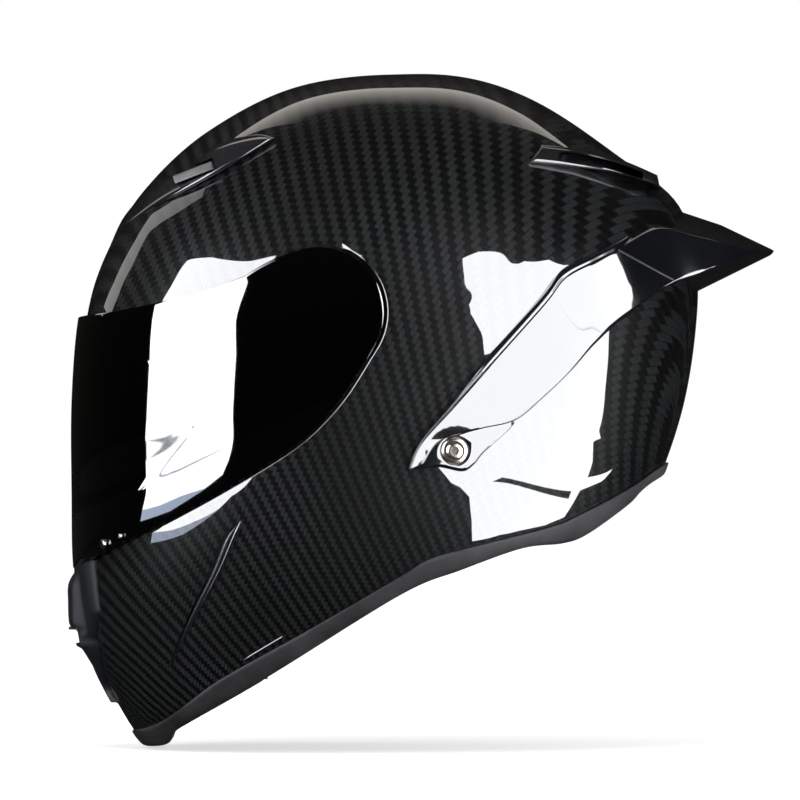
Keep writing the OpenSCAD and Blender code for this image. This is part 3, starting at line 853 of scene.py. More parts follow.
def twill_group() -> bpy.types.NodeTree:
    """A two over two twill: which tow lies on top, and how it rounds.

    Returns:
        The group.
    """
    tree, n, given = group("twill", {"Place": None, "Blur": 0.1}, ("Top", "Height"))
    parts = n.add("SeparateXYZ", {0: given["Place"]})
    double = n.maths("MULTIPLY", parts.outputs[0], 2.0)
    warp = n.maths("ADD", double, parts.outputs[1])
    weft = n.maths("SUBTRACT", double, parts.outputs[1])
    step = n.maths("ADD", n.maths("FLOOR", warp), n.maths("FLOOR", weft))
    turn = n.maths("FLOORED_MODULO", step, 4.0)
    top = n.maths("LESS_THAN", turn, 1.5)
    over = n.maths("FRACT", warp)
    under = n.maths("FRACT", weft)
    cross = n.add("Mix", {0: top, 2: under, 3: over}).outputs[0]
    height = n.maths("SINE", n.maths("MULTIPLY", cross, math.pi))
    soft = n.span(height, 0.0, given["Blur"])
    n.add("NodeGroupOutput", {"Top": n.maths("MULTIPLY", top, soft), "Height": height})
    return tree


def grain_group() -> bpy.types.NodeTree:
    """Fine moulded grain and broad unevenness, on Object coordinates.

    Returns:
        The group.
    """
    tree, n, given = group("grain", {"Fine": 900.0, "Broad": 14.0}, ("Fine", "Broad"))
    place = n.add("TexCoord").outputs["Object"]
    fine = n.add("TexNoise", {"Vector": place, "Scale": given["Fine"], "Detail": 3.0, "Roughness": 0.6})
    broad = n.add("TexNoise", {"Vector": place, "Scale": given["Broad"], "Detail": 5.0, "Roughness": 0.62})
    n.add("NodeGroupOutput", {"Fine": fine.outputs[0], "Broad": broad.outputs[0]})
    return tree


def wear_group() -> bpy.types.NodeTree:
    """Where an edge is rubbed, and where dust lies.

    Returns:
        The group.
    """
    tree, n, given = group("wear", {"Edge": 0.52, "Dust": 0.3}, ("Rubbed", "Dusty"))
    geometry = n.add("NewGeometry")
    place = n.add("TexCoord").outputs["Object"]
    patchy = n.add("TexNoise", {"Vector": place, "Scale": 60.0, "Detail": 6.0}).outputs[0]
    edge = n.maths("SUBTRACT", geometry.outputs["Pointiness"], given["Edge"])
    rubbed = n.maths("MULTIPLY", n.span(edge, 0.0, 0.06), n.span(patchy, 0.4, 0.62))
    facing = n.add("SeparateXYZ", {0: geometry.outputs["Normal"]}).outputs[2]
    specks = n.add("TexNoise", {"Vector": place, "Scale": 420.0, "Detail": 2.0}).outputs[0]
    dusty = n.maths("MULTIPLY", n.span(facing, 0.1, 1.0), n.span(specks, 0.45, 0.8))
    n.add("NodeGroupOutput", {"Rubbed": rubbed, "Dusty": n.maths("MULTIPLY", dusty, given["Dust"])})
    return tree


def cloth_group() -> bpy.types.NodeTree:
    """A knitted or woven cloth, on a place given in threads.

    Returns:
        The group.
    """
    tree, n, given = group("cloth", {"Place": None}, ("Height", "Fuzz"))
    parts = n.add("SeparateXYZ", {0: given["Place"]})
    waves = [n.maths("SINE", n.maths("MULTIPLY", parts.outputs[k], 2 * math.pi)) for k in range(3)]
    height = n.maths("ADD", n.maths("MULTIPLY", waves[0], waves[1]), n.maths("MULTIPLY", waves[1], waves[2]))
    fuzz = n.add("TexNoise", {"Vector": given["Place"], "Scale": 0.7, "Detail": 6.0}).outputs[0]
    n.add("NodeGroupOutput", {"Height": n.span(height, -2.0, 2.0), "Fuzz": fuzz})
    return tree


GROUPS: dict[str, bpy.types.NodeTree] = {}


def placed(nodes: Nodes, name: str, inputs: dict | None = None) -> bpy.types.Node:
    """Places one of the shared groups in a material, and builds it the first time.

    Args:
        nodes: The material's nodes.
        name: The group's name.
        inputs: A value or a socket for each input.

    Returns:
        The group's node.
    """
    makers = {"twill": twill_group, "grain": grain_group, "wear": wear_group, "cloth": cloth_group}
    if name not in GROUPS:
        GROUPS[name] = makers[name]()
    node = nodes.add("Group")
    node.node_tree = GROUPS[name]
    nodes.put(node, inputs or {})
    return node


def blank(name: str) -> tuple[bpy.types.Material, Nodes, bpy.types.Node]:
    """Starts a material with one plain shader.

    Args:
        name: The material's name.

    Returns:
        The material, its nodes and its Principled shader.
    """
    material = bpy.data.materials.new(name)
    nodes = emptied(material)
    shader = nodes.add("BsdfPrincipled")
    nodes.add("OutputMaterial", {"Surface": shader.outputs[0]})
    return material, nodes, shader


def fill(nodes: Nodes, shader: bpy.types.Node, **values: object) -> None:
    """Sets or links the shader's inputs, where an underscore stands for a space."""
    nodes.put(shader, {key.replace("_", " "): value for key, value in values.items()})


def bumped(nodes: Nodes, height: bpy.types.NodeSocket, strength: float, depth: float) -> bpy.types.NodeSocket:
    """A normal from a height, with the depth in millimetres."""
    return nodes.add("Bump", {"Height": height, "Strength": strength, "Distance": depth * MM}).outputs[0]


@dataclass(frozen=True)
class LacqueredTwill:
    """Carbon twill under a thick clear lacquer, with its sheen painted into the colour: tows on top lighter
    as a painted sheen, tows under and the gaps between them darker as painted shade.
    """

    name: str = "carbon_twill"
    # The gap colour is the tows under and the gaps between tows, in painted shade; the tow colour is the tows
    # on top, with a painted sheen.
    gap: Colour = (0.0028, 0.0028, 0.0032)
    tow: Colour = (0.026, 0.030, 0.034)
    coat_index: float = 1.8
    depth: float = 0.06

    def material(self) -> bpy.types.Material:
        """Builds the finish.

        Returns:
            The material.
        """
        material, n, shader = blank(self.name)
        place = n.add("UVMap").outputs[0]
        twill = placed(n, "twill", {"Place": place, "Blur": 0.35})
        grain = placed(n, "grain", {"Fine": 500.0, "Broad": 9.0})
        # Broad random bands where the painted tow sheen is brighter or dimmer, standing in for bands of
        # reflected light.
        sheen_bands = n.span(grain.outputs["Broad"], 0.35, 0.68, 0.45, 1.0)
        # Painted sheen: full on a tow that lies on top, fading towards its edges, and none on the tows under.
        painted_tow_sheen = n.maths("MULTIPLY", twill.outputs["Top"], sheen_bands)
        fill(
            n, shader,
            Base_Color=n.between(painted_tow_sheen, self.gap, self.tow),
            Roughness=n.span(twill.outputs["Height"], 0.0, 1.0, 0.52, 0.36),
            Normal=bumped(n, twill.outputs["Height"], 0.35, self.depth),
            Specular_IOR_Level=0.06, Coat_Weight=1.0, Coat_Roughness=0.015, Coat_IOR=self.coat_index,
        )
        return material


@dataclass(frozen=True)
class MirrorCoat:
    """The dark mirrored face of the visor."""

    name: str = "mirror_visor"
    colour: Colour = (0.082, 0.083, 0.088)
    roughness: float = 0.02

    def material(self) -> bpy.types.Material:
        """Builds the finish.

        Returns:
            The material.
        """
        material, n, shader = blank(self.name)
        grain = placed(n, "grain", {"Fine": 60.0, "Broad": 4.0})
        tint = n.span(grain.outputs["Broad"], 0.3, 0.7)
        fill(
            n, shader,
            Base_Color=n.between(tint, self.colour, tuple(0.9 * c for c in self.colour)),
            Roughness=n.span(grain.outputs["Fine"], 0.3, 0.8, self.roughness, self.roughness + 0.02),
            Metallic=1.0, Coat_Weight=1.0, Coat_Roughness=0.01, Coat_IOR=1.5,
        )
        return material


@dataclass(frozen=True)
class Moulded:
    """A moulded or painted surface with grain, rubbed edges and a little dust."""

    name: str
    colour: Colour
    second: Colour
    roughness: float = 0.45
    spread: float = 0.12
    grain: float = 900.0
    broad: float = 14.0
    depth: float = 0.03
    metallic: float = 0.0
    coat: float = 0.0
    coat_index: float = 1.5
    shine: float = 0.2
    worn: Colour = (0.05, 0.05, 0.053)
    edge: float = 0.53
    dust: float = 0.04

    def material(self) -> bpy.types.Material:
        """Builds the finish.

        Returns:
            The material.
        """
        material, n, shader = blank(self.name)
        grain = placed(n, "grain", {"Fine": self.grain, "Broad": self.broad})
        wear = placed(n, "wear", {"Edge": self.edge, "Dust": self.dust})
        ground = n.between(n.span(grain.outputs["Broad"], 0.3, 0.7), self.colour, self.second)
        rubbed = n.add("Mix", {0: wear.outputs["Rubbed"], 6: ground, 7: (*self.worn, 1)}, data_type="RGBA")
        dusty = n.add("Mix", {0: wear.outputs["Dusty"], 6: rubbed.outputs[2], 7: (0.2, 0.19, 0.18, 1)},
                      data_type="RGBA")
        low, high = max(0.02, self.roughness - self.spread), self.roughness + self.spread
        fill(
            n, shader,
            Base_Color=dusty.outputs[2],
            Roughness=n.span(grain.outputs["Broad"], 0.25, 0.75, low, high),
            Normal=bumped(n, grain.outputs["Fine"], 0.4, self.depth),
            Metallic=self.metallic, Specular_IOR_Level=self.shine,
            Coat_Weight=self.coat, Coat_Roughness=0.03, Coat_IOR=self.coat_index,
        )
        return material


@dataclass(frozen=True)
class Cloth:
    """A lining or webbing with its threads and a soft sheen, with painted shade in the valleys between
    threads.
    """

    name: str
    colour: Colour
    second: Colour
    thread: float = 1.2
    depth: float = 0.25
    sheen: float = 0.5
    follows_surface: bool = False

    def material(self) -> bpy.types.Material:
        """Builds the finish.

        Returns:
            The material.
        """
        material, n, shader = blank(self.name)
        if self.follows_surface:
            place = n.add("UVMap").outputs[0]
        else:
            whole = n.add("TexCoord").outputs["Object"]
            place = n.add("Mapping", {0: whole, 3: (1 / (self.thread * MM),) * 3}).outputs[0]
        cloth = placed(n, "cloth", {"Place": place})
        broad = placed(n, "grain", {"Broad": 22.0})
        # Painted shade: the colour is darker in the valleys between threads and lighter on their crests,
        # times a random fuzz.
        threads = n.span(cloth.outputs["Height"], 0.2, 0.8, 0.5, 1.4)
        fuzz_and_thread_shade = n.maths("MULTIPLY", cloth.outputs["Fuzz"], threads)
        fill(
            n, shader,
            Base_Color=n.between(fuzz_and_thread_shade, self.colour, self.second),
            Roughness=n.span(broad.outputs["Broad"], 0.3, 0.7, 0.78, 0.95),
            Normal=bumped(n, cloth.outputs["Height"], 0.7, self.depth),
            Sheen_Weight=self.sheen, Sheen_Roughness=0.5,
        )
        return material


@dataclass(frozen=True)
class BeadFoam:
    """Expanded foam with its pressed beads."""

    name: str = "bead_foam"
    colour: Colour = (0.018, 0.018, 0.02)
    second: Colour = (0.04, 0.04, 0.043)
    bead: float = 3.2

    def material(self) -> bpy.types.Material:
        """Builds the finish.

        Returns:
            The material.
        """
        material, n, shader = blank(self.name)
        place = n.add("TexCoord").outputs["Object"]
        inputs = {"Vector": place, "Scale": 1 / (self.bead * MM)}
        cell = n.add("TexVoronoi", inputs, feature="DISTANCE_TO_EDGE")
        seam = n.span(cell.outputs["Distance"], 0.0, 0.12)
        grain = placed(n, "grain", {"Fine": 700.0, "Broad": 30.0})
        tone = n.maths("MULTIPLY", seam, n.span(grain.outputs["Broad"], 0.3, 0.7, 0.6, 1.0))
        fill(
            n, shader, Base_Color=n.between(tone, self.colour, self.second),
            Roughness=n.span(grain.outputs["Fine"], 0.3, 0.7, 0.7, 0.9), Normal=bumped(n, seam, 0.6, 0.25),
        )
        return material


FINISHES = {
    "carbon_shell": LacqueredTwill(),
    "mirror_visor": MirrorCoat(),
    "rim_rubber": Moulded("rim_rubber", (0.015, 0.015, 0.017), (0.046, 0.046, 0.05), 0.6, 0.1, 700, 38, 0.06,
                          worn=(0.08, 0.08, 0.085), dust=0.08),
    "gasket_rubber": Moulded("gasket_rubber", (0.012, 0.012, 0.013), (0.022, 0.022, 0.023), 0.6, 0.1, 800,
                             30),
    "vent_plastic": Moulded("vent_plastic", (0.010, 0.010, 0.013), (0.020, 0.020, 0.024), 0.2, 0.06, 1100,
                            18, 0.01, coat=1.0, coat_index=1.6),
    "dull_plastic": Moulded("dull_plastic", (0.006, 0.007, 0.010), (0.011, 0.013, 0.018), 0.5, 0.1, 1000,
                            12, 0.04),
    "dark_plastic": Moulded("dark_plastic", (0.018, 0.018, 0.02), (0.03, 0.03, 0.033), 0.42, 0.1),
    "shutter_plastic": Moulded("shutter_plastic", (0.05, 0.055, 0.065), (0.075, 0.08, 0.09), 0.4, 0.1),
    "spoiler_plastic": Moulded("spoiler_plastic", (0.006, 0.007, 0.010), (0.010, 0.011, 0.015), 0.16, 0.05,
                               1500, 10, 0.006, coat=1.0, dust=0.02, coat_index=1.75, shine=0.1),
    "slider_silver": Moulded("slider_silver", (0.62, 0.63, 0.65), (0.74, 0.75, 0.77), 0.26, 0.06, 1300,
                             20, 0.01, metallic=0.9),
    "steel": Moulded("steel", (0.4, 0.4, 0.41), (0.52, 0.52, 0.53), 0.34, 0.08, 900, 40, 0.02, metallic=1.0),
    "mesh_steel": Moulded("mesh_steel", (0.07, 0.075, 0.08), (0.12, 0.12, 0.13), 0.4, 0.1, metallic=0.8),
    "ring_steel": Moulded("ring_steel", (0.58, 0.58, 0.59), (0.7, 0.7, 0.71), 0.2, 0.07, 1200, 60, 0.015,
                          metallic=1.0),
    "bright_stud": Moulded("bright_stud", (0.78, 0.78, 0.79), (0.86, 0.86, 0.87), 0.14, 0.04, 1200, 60, 0.01,
                           metallic=1.0),
    "screw_metal": Moulded("screw_metal", (0.62, 0.52, 0.45), (0.76, 0.70, 0.66), 0.22, 0.06, 1200, 90, 0.02,
                           metallic=1.0),
    "guard_rubber": Moulded("guard_rubber", (0.014, 0.014, 0.016), (0.024, 0.024, 0.026), 0.66, 0.08),
    "foam": BeadFoam(),
    "lining_fabric": Cloth("lining_fabric", (0.010, 0.010, 0.012), (0.034, 0.034, 0.038), 1.1, 0.3, 0.5),
    "curtain_fabric": Cloth("curtain_fabric", (0.008, 0.008, 0.009), (0.022, 0.022, 0.024), 0.9, 0.2, 0.25),
    "webbing": Cloth("webbing", (0.010, 0.010, 0.012), (0.03, 0.03, 0.034), 1.0, 0.3, 0.35,
                     follows_surface=True),
}
MATERIALS: dict[str, bpy.types.Material] = {}


def finished(obj: bpy.types.Object, slot: str) -> bpy.types.Object:
    """Gives a piece the finish of one of the record's material slots.

    Args:
        obj: The piece.
        slot: The slot.

    Returns:
        The same piece.
    """
    if slot not in MATERIALS:
        MATERIALS[slot] = FINISHES[slot].material()
    obj.data.materials.clear()
    obj.data.materials.append(MATERIALS[slot])
    return obj


def mounted(obj: bpy.types.Object, slot: str, body: str, *nodes: str) -> bpy.types.Object:
    """Dresses a new piece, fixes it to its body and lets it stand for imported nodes.

    Args:
        obj: The finished piece.
        slot: The material slot that it takes its finish from.
        body: The body that it moves with.
        nodes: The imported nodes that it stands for.

    Returns:
        The same piece.
    """
    finished(obj, slot)
    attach(obj, body)
    if nodes:
        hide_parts(*nodes)
    LOG.info("%s: %d faces on %s", obj.name, len(obj.data.polygons), body)
    return obj


PORT: Line = (
    (-185, 43), (-160, 44), (-130, 48), (-98, 51), (-78, 48), (-68, 38), (-66, 22), (-72, 5),
    (-89, -12), (-122, -30.5), (-155, -46), (-185, -55),
)
TRIM_LOW: Line = (
    (-180, -143), (-115, -143), (-102.5, -133.5), (-61, -109), (0, -71), (28, -59.5), (56.5, -49.5),
    (75, -47.5), (86.5, -43.5), (106, -30), (118, -19.5), (150, -5),
)
TRIM_HIGH: Line = (
    (-180, -135.5), (-122.5, -135.5), (-82.5, -110), (-40, -86), (0, -62.5), (14.5, -54), (36.5, -48),
    (70, -39.5), (83.5, -34), (106, -22.5), (124.5, -11), (150, 1),
)


def slab(
    name: str, low: np.ndarray, high: np.ndarray, under: float, over: float, kind: Rise,
) -> bpy.types.Object:
    """A closed solid on the left side, between two lines in side view and two heights.

    Args:
        name: The new object's name.
        low: One line's points.
        high: The other line's points, as many as the first has.
        under: Height of the lower face over the surface.
        over: Height of the upper face.
        kind: The surface that it follows.

    Returns:
        The new object.
    """
    shares = np.linspace(0, 1, 9)[:, None, None]
    flat = low[None] + (high - low)[None] * shares
    bottom = SKIN.on(flat[..., 0], flat[..., 1], under, kind)
    top = SKIN.on(flat[..., 0], flat[..., 1], over, kind)[::-1]
    obj = Bench.grid(name, np.concatenate([bottom, top, bottom[:1]]))
    Bench.weld(obj, 0.01)
    Bench.capped(obj)
    return obj


def bar_ends(start: Sequence[float], stop: Sequence[float], half: float) -> tuple[np.ndarray, np.ndarray]:
    """The two long sides of a bar in side view.

    Args:
        start: One end of its middle line.
        stop: The other end.
        half: Half its width.

    Returns:
        The points of each side.
    """
    a, b = np.asarray(start, float), np.asarray(stop, float)
    run = (b - a) / np.linalg.norm(b - a)
    across = np.array([-run[1], run[0]]) * half
    line = a + (b - a) * np.linspace(0, 1, 24)[:, None]
    return line - across, line + across


@dataclass(frozen=True)
class Weave:
    """The run of the carbon cloth, read off the photograph at single places."""

    guides: Sequence[tuple[float, float, float, float]] = (
        (-121, -52, 7, 3.4), (-113, -83, 10, 3.4), (-128, -114, 10, 3.4), (-94, -94, 20, 3.5),
        (-81, -80, 30, 3.5), (-66, -20, 15, 3.5), (-47, -47, 35, 3.8), (-50, -75, 57, 4.7),
        (-27, -5, 35, 3.8), (-3, -52, 75, 4.5), (20, -28, 87, 4.5), (-4, -12, 50, 4.2),
        (2, 12, 50, 4.5), (14, 35, 58, 4.7), (31, 59, 63, 5.2), (26, 77, 70, 5.2), (0, 96, 60, 5.2),
        (-12, 120, 65, 5.2), (-35, 120, 72, 5.2), (-16, 148, 85, 5.6), (-82, 108, 60, 5.2),
        (-103, 89, 60, 5.2), (-70, 120, 62, 5.2), (35, 120, 83, 9.4), (47, 108, 80, 9.4),
        (66, 108, 93, 10.3), (78, 108, 100, 10.3), (87, 113, 110, 10.3), (94, 120, 135, 9.4),
        (102, 47, 97, 5.2), (96, 0, 97, 5.2), (114, 47, 125, 7.0), (125, 53, 178, 11.8),
        (132, 47, 215, 9.4), (108, -28, 100, 5.2), (122, 9, 170, 11.8), (-47, 155, 80, 5.2),
        (14, 160, 88, 6.6), (75, 141, 95, 10.3), (75, 52, 95, 5.2), (-120, 78, 54, 5.2),
        (-130, 64, 50, 5.2), (-112, 100, 57, 5.2),
    )
    degree: int = 4
    reach: float = 220.0
    aspect: float = 0.4
    stiffness: float = 0.01

    def spread(self, x: np.ndarray, z: np.ndarray) -> tuple[np.ndarray, np.ndarray]:
        """Lays the skin flat from its middle outwards.

        Args:
            x: Places in side view, backwards.
            z: The same places, upwards.

        Returns:
            The places on the flat cloth, in shares of the reach.
        """
        across, up = np.asarray(x, float) - SKIN.centre[0], np.asarray(z, float) - SKIN.centre[1]
        angle = np.arctan2(up, across)
        edge = SKIN.edge(np.degrees(angle))
        turned = 1 - np.sqrt(1 - np.minimum(np.hypot(across, up) / edge, 1))
        share = 1 - (1 - turned[..., None] * np.linspace(0, 1, 40)) ** 2
        y = SKIN.half_width * np.sqrt(np.maximum(0, 1 - share ** SKIN.flatness(angle)[..., None]))
        length = np.hypot(np.diff(share * edge[..., None], axis=-1), np.diff(y, axis=-1)).sum(axis=-1)
        return length * np.cos(angle) / self.reach, length * np.sin(angle) / self.reach

    def powers(self) -> list[tuple[int, int]]:
        """The powers in each term of the polynomial."""
        return [(i, j) for i in range(self.degree + 1) for j in range(self.degree + 1 - i) if i + j]

    def terms(self, x: np.ndarray, z: np.ndarray) -> np.ndarray:
        """The polynomial's terms at places in side view."""
        u, v = self.spread(x, z)
        return np.stack([u**i * v**j for i, j in self.powers()], axis=-1)

    def place(self, x: np.ndarray, z: np.ndarray) -> np.ndarray:
        """The cloth's own place at places in side view: across and along its ribs.

        Args:
            x: Places in side view, backwards.
            z: The same places, upwards.

        Returns:
            The places on the cloth, in ribs.
        """
        gx, gz, lean, pitch = np.asarray(self.guides, float).T
        step = 0.5
        slope_x = (self.terms(gx + step, gz) - self.terms(gx - step, gz)) / (2 * step)
        slope_z = (self.terms(gx, gz + step) - self.terms(gx, gz - step)) / (2 * step)
        turn = np.radians(lean)
        targets = (
            (np.sin(turn) / pitch, np.cos(turn) / pitch),
            (np.cos(turn) / (self.aspect * pitch), -np.sin(turn) / (self.aspect * pitch)),
        )
        calm = np.diag([self.stiffness * max(0, i + j - 1) ** 2 for i, j in self.powers()])
        found = []
        for along_x, along_z in targets:
            system = np.vstack([slope_x * pitch[:, None], slope_z * pitch[:, None], calm])
            wanted = np.concatenate([along_x * pitch, along_z * pitch, np.zeros(len(calm))])
            found.append(self.terms(x, z) @ np.linalg.lstsq(system, wanted, rcond=None)[0])
        return np.stack(found, axis=-1)


@dataclass
class Shell:
    """The lacquered shell, with its eye port, its visor pocket and its cheek gills."""

    wall: float = 3.5
    cup: float = 20.4
    cup_y: float = 111.13
    lobe: float = 31.2
    lobe_y: float = 113.82
    inner_cup: float = 3.2
    inner_lobe: float = 3.6
    gap: float = 1.2
    spiral: tuple[float, float] = (75.0, 224.0)
    spiral_end: float = 0.96
    widest: float = 0.97
    edge_span: tuple[float, float] = (-125.6, -18.0)
    edge_lift: float = 3.0
    columns: int = 300
    pocket_rows: int = 16
    skin_rows: int = 52
    gill_front: Line = ((-74.5, -38), (-81.5, -44), (-88, -61), (-98, -82), (-107.5, -106))
    gill_rear: Line = ((-73, -37), (-76.5, -45), (-83.5, -61), (-95.5, -83.5), (-107.5, -106))
    gill_depth: float = 1.6
    lip: Line = ((-71.5, -100.8), (-62, -95), (-52, -89))
    visor_outline: np.ndarray = field(init=False)

    def __post_init__(self) -> None:
        """Draws the visor's outline, which the pocket follows."""
        top = bend(((-172, 54.5), (-148.5, 58), (-131.5, 60), (-112.5, 63.5), (-94, 67.5), (-70.5, 76)), 8)
        turn = np.radians(np.linspace(112, -25, 40))
        lobe = np.stack([SKIN.pivot[0] + 30 * np.cos(turn), SKIN.pivot[1] + 30 * np.sin(turn)], axis=1)
        foot = bend((
            (-14, 39.5), (-25, 22), (-35.5, 9.5), (-47, -1), (-66, -13.5), (-94, -29.5), (-121, -43),
            (-136.5, -51), (-153.5, -60), (-172, -69),
        ), 8)
        self.visor_outline = np.vstack([top, lobe, foot])

    def radii(self, angles: np.ndarray) -> tuple[np.ndarray, np.ndarray, np.ndarray]:
        """Where the shell ends, folds over at the outline and steps up, from the pivot.

        Args:
            angles: Directions in side view, in degrees.

        Returns:
            The distances to the shell's end, to its outline and to the edge of the pocket.
        """
        fold = np.interp(angles, *polar(SKIN.rim(0, Rise.OUTSIDE), SKIN.pivot), period=360)
        low = bend(np.asarray(TRIM_LOW) + (0, self.edge_lift), 12)
        at, far = polar(low, SKIN.pivot)
        keep = (at > self.edge_span[0]) & (at < self.edge_span[1])
        below = np.interp(angles, at[keep], far[keep], left=np.inf, right=np.inf)
        end = np.minimum(fold, below)
        at, far = polar(beside(self.visor_outline, self.gap), SKIN.pivot)
        pocket = np.interp(angles, at, far, period=360)
        full = angles % 360
        spiral = self.lobe + (self.spiral_end * fold - self.lobe) * ramp(full, *self.spiral)
        pocket = np.where((full > self.spiral[0]) & (full < self.spiral[1]), spiral, pocket)
        return end, fold, np.clip(pocket, self.lobe + 0.3, self.widest * end)

    def sheet(self, name: str, inner: bool) -> bpy.types.Object:
        """Shapes one face of the left half.

        Args:
            name: The new object's name.
            inner: Whether it is the inner face, one wall further in.

        Returns:
            The open sheet.
        """
        angles = np.linspace(-180, 180, self.columns + 1)
        end, fold, pocket = self.radii(angles)
        sunk = 0.0
        if inner:
            sunk = -self.wall
            rim = np.interp(angles, *polar(SKIN.rim(sunk, Rise.OUTSIDE), SKIN.pivot), period=360)
            end = np.minimum(np.where(end < fold - 0.01, end, rim), rim)
            pocket = np.clip(pocket + self.inner_cup, self.lobe + self.inner_lobe, self.widest * end)
            fold = rim
        turn = np.radians(angles)
        way = np.stack([np.cos(turn), np.sin(turn)], axis=1)
        ones = np.ones_like(angles)
        rows: list[np.ndarray] = []

        def plain(distance: float, y: float) -> None:
            """Adds a round row that lies in one plane."""
            at = np.asarray(SKIN.pivot) + way * distance
            rows.append(np.stack([at[:, 0], -y * ones, at[:, 1]], axis=1))

        def raised(share: np.ndarray, kind: Rise, height: np.ndarray) -> None:
            """Adds a row on the skin, with its share of the way that the outline folds over at.

            Args:
                share: The shares.
                kind: The kind of surface.
                height: Height over the surface.
            """
            distance = fold * (1 - (1 - share) ** 2)
            at = np.asarray(SKIN.pivot) + way * distance[:, None]
            found = SKIN.on(at[:, 0], at[:, 1], height + sunk, kind)
            found[share > 0.9999, 1] = 0
            rows.append(found)

        def shared(distance: np.ndarray) -> np.ndarray:
            """The share that a distance has."""
            return 1 - np.sqrt(np.maximum(0, 1 - distance / fold))

        thick = self.inner_cup if inner else 0.0
        plain(0, self.cup_y - thick)
        plain(self.cup + thick, self.cup_y - thick)
        plain(self.cup + thick + 0.01, self.lobe_y - thick)
        plain(self.lobe + thick, self.lobe_y - thick)
        near, far = shared((self.lobe + thick + 0.01) * ones), shared(pocket)
        for step in np.linspace(0, 1, self.pocket_rows):
            raised(near + (far - near) * step, Rise.FLAT, 0 * ones)
        at = np.asarray(SKIN.pivot) + way * pocket[:, None]
        step_up = SKIN.rise(at[:, 0], at[:, 1], Rise.OUTSIDE)
        soft = np.minimum(0.9, 0.6 * step_up)
        for corner in np.linspace(0, np.pi / 2, 5):
            at_corner = shared(pocket + 0.02 + soft * (1 - np.cos(corner)))
            raised(at_corner, Rise.OUTSIDE, -soft * (1 - np.sin(corner)))
        near, far = shared(pocket + 0.02 + soft), shared(end)
        for step in np.linspace(0, 1, self.skin_rows)[1:]:
            raised(near + (far - near) * step, Rise.OUTSIDE, 0 * ones)
        points = np.stack(rows)
        obj = Bench.grid(name, points, Weave().place(points[..., 0], points[..., 2]))
        Bench.weld(obj, 0.008)
        Bench.away(obj, (SKIN.centre[0], 0, SKIN.centre[1]))
        Bench.both_halves(obj)
        return obj

    def build(self) -> None:
        """Models the shell."""
        inner = self.sheet("shell_inside", True)
        inner.data.flip_normals()
        shell = Bench.join([self.sheet("shell", False), inner])
        with Bench.editing(shell, everything=False):
            bpy.ops.mesh.select_non_manifold(
                extend=False, use_wire=False, use_multi_face=False, use_verts=False,
            )
            bpy.ops.mesh.bridge_edge_loops()
        Bench.outward(shell)
        Bench.cut(shell, Bench.prism("port", bend(PORT, 6, closed=True), -200, 200))
        places = np.linspace(0, 1, 40)
        front, rear = (evenly(bend(line, 12), places) for line in (self.gill_front, self.gill_rear))
        left = slab("gill", front, rear, -self.gill_depth, 5, Rise.OUTSIDE)
        right = Bench.twin(left, "gill_right")
        Bench.cut(shell, left)
        Bench.cut(shell, right)
        Bench.smooth(shell, 32)
        self.lips()
        mounted(shell, "carbon_shell", "shell", "outer_shell")

    def lips(self) -> None:
        """Models the raised lips behind each gill and over the trim, and the braided cord in each gill."""
        places = np.linspace(0, 1, 60)
        rear, front = (evenly(bend(line, 12), places) for line in (self.gill_rear, self.gill_front))
        middle = 0.55 * rear + 0.45 * front
        low = evenly(bend(self.lip, 12), places)
        taper = np.interp(places, (0, 0.06, 0.55, 1), (0.4, 1.0, 0.6, 0.25))
        even = np.interp(places, (0, 0.1, 0.9, 1), (0.2, 1.0, 1.0, 0.2))
        thin = np.interp(places, (0, 0.15, 0.7, 1), (0.2, 1.0, 0.7, 0.1))
        for name, line, height, radius, sizes, slot in (
            ("gill_lip", rear, 0.2, 1.0, taper, "carbon_shell"),
            ("trim_lip", low, 0.1, 0.6, even, "carbon_shell"),
            ("gill_braid", middle, -1.5, 0.9, thin * (1 + 0.18 * np.sin(places * 150)), "mesh_steel"),
        ):
            at = SKIN.on(line[:, 0], line[:, 1], height, Rise.OUTSIDE)
            section = Bench.round_section(radius)
            bead = Bench.swept(f"{name}_left", at, np.array([0.0, 1.0, 0.0]), section, sizes)
            other = Bench.twin(bead, f"{name}_right")
            mounted(bead, slot, "shell")
            mounted(other, slot, "shell")


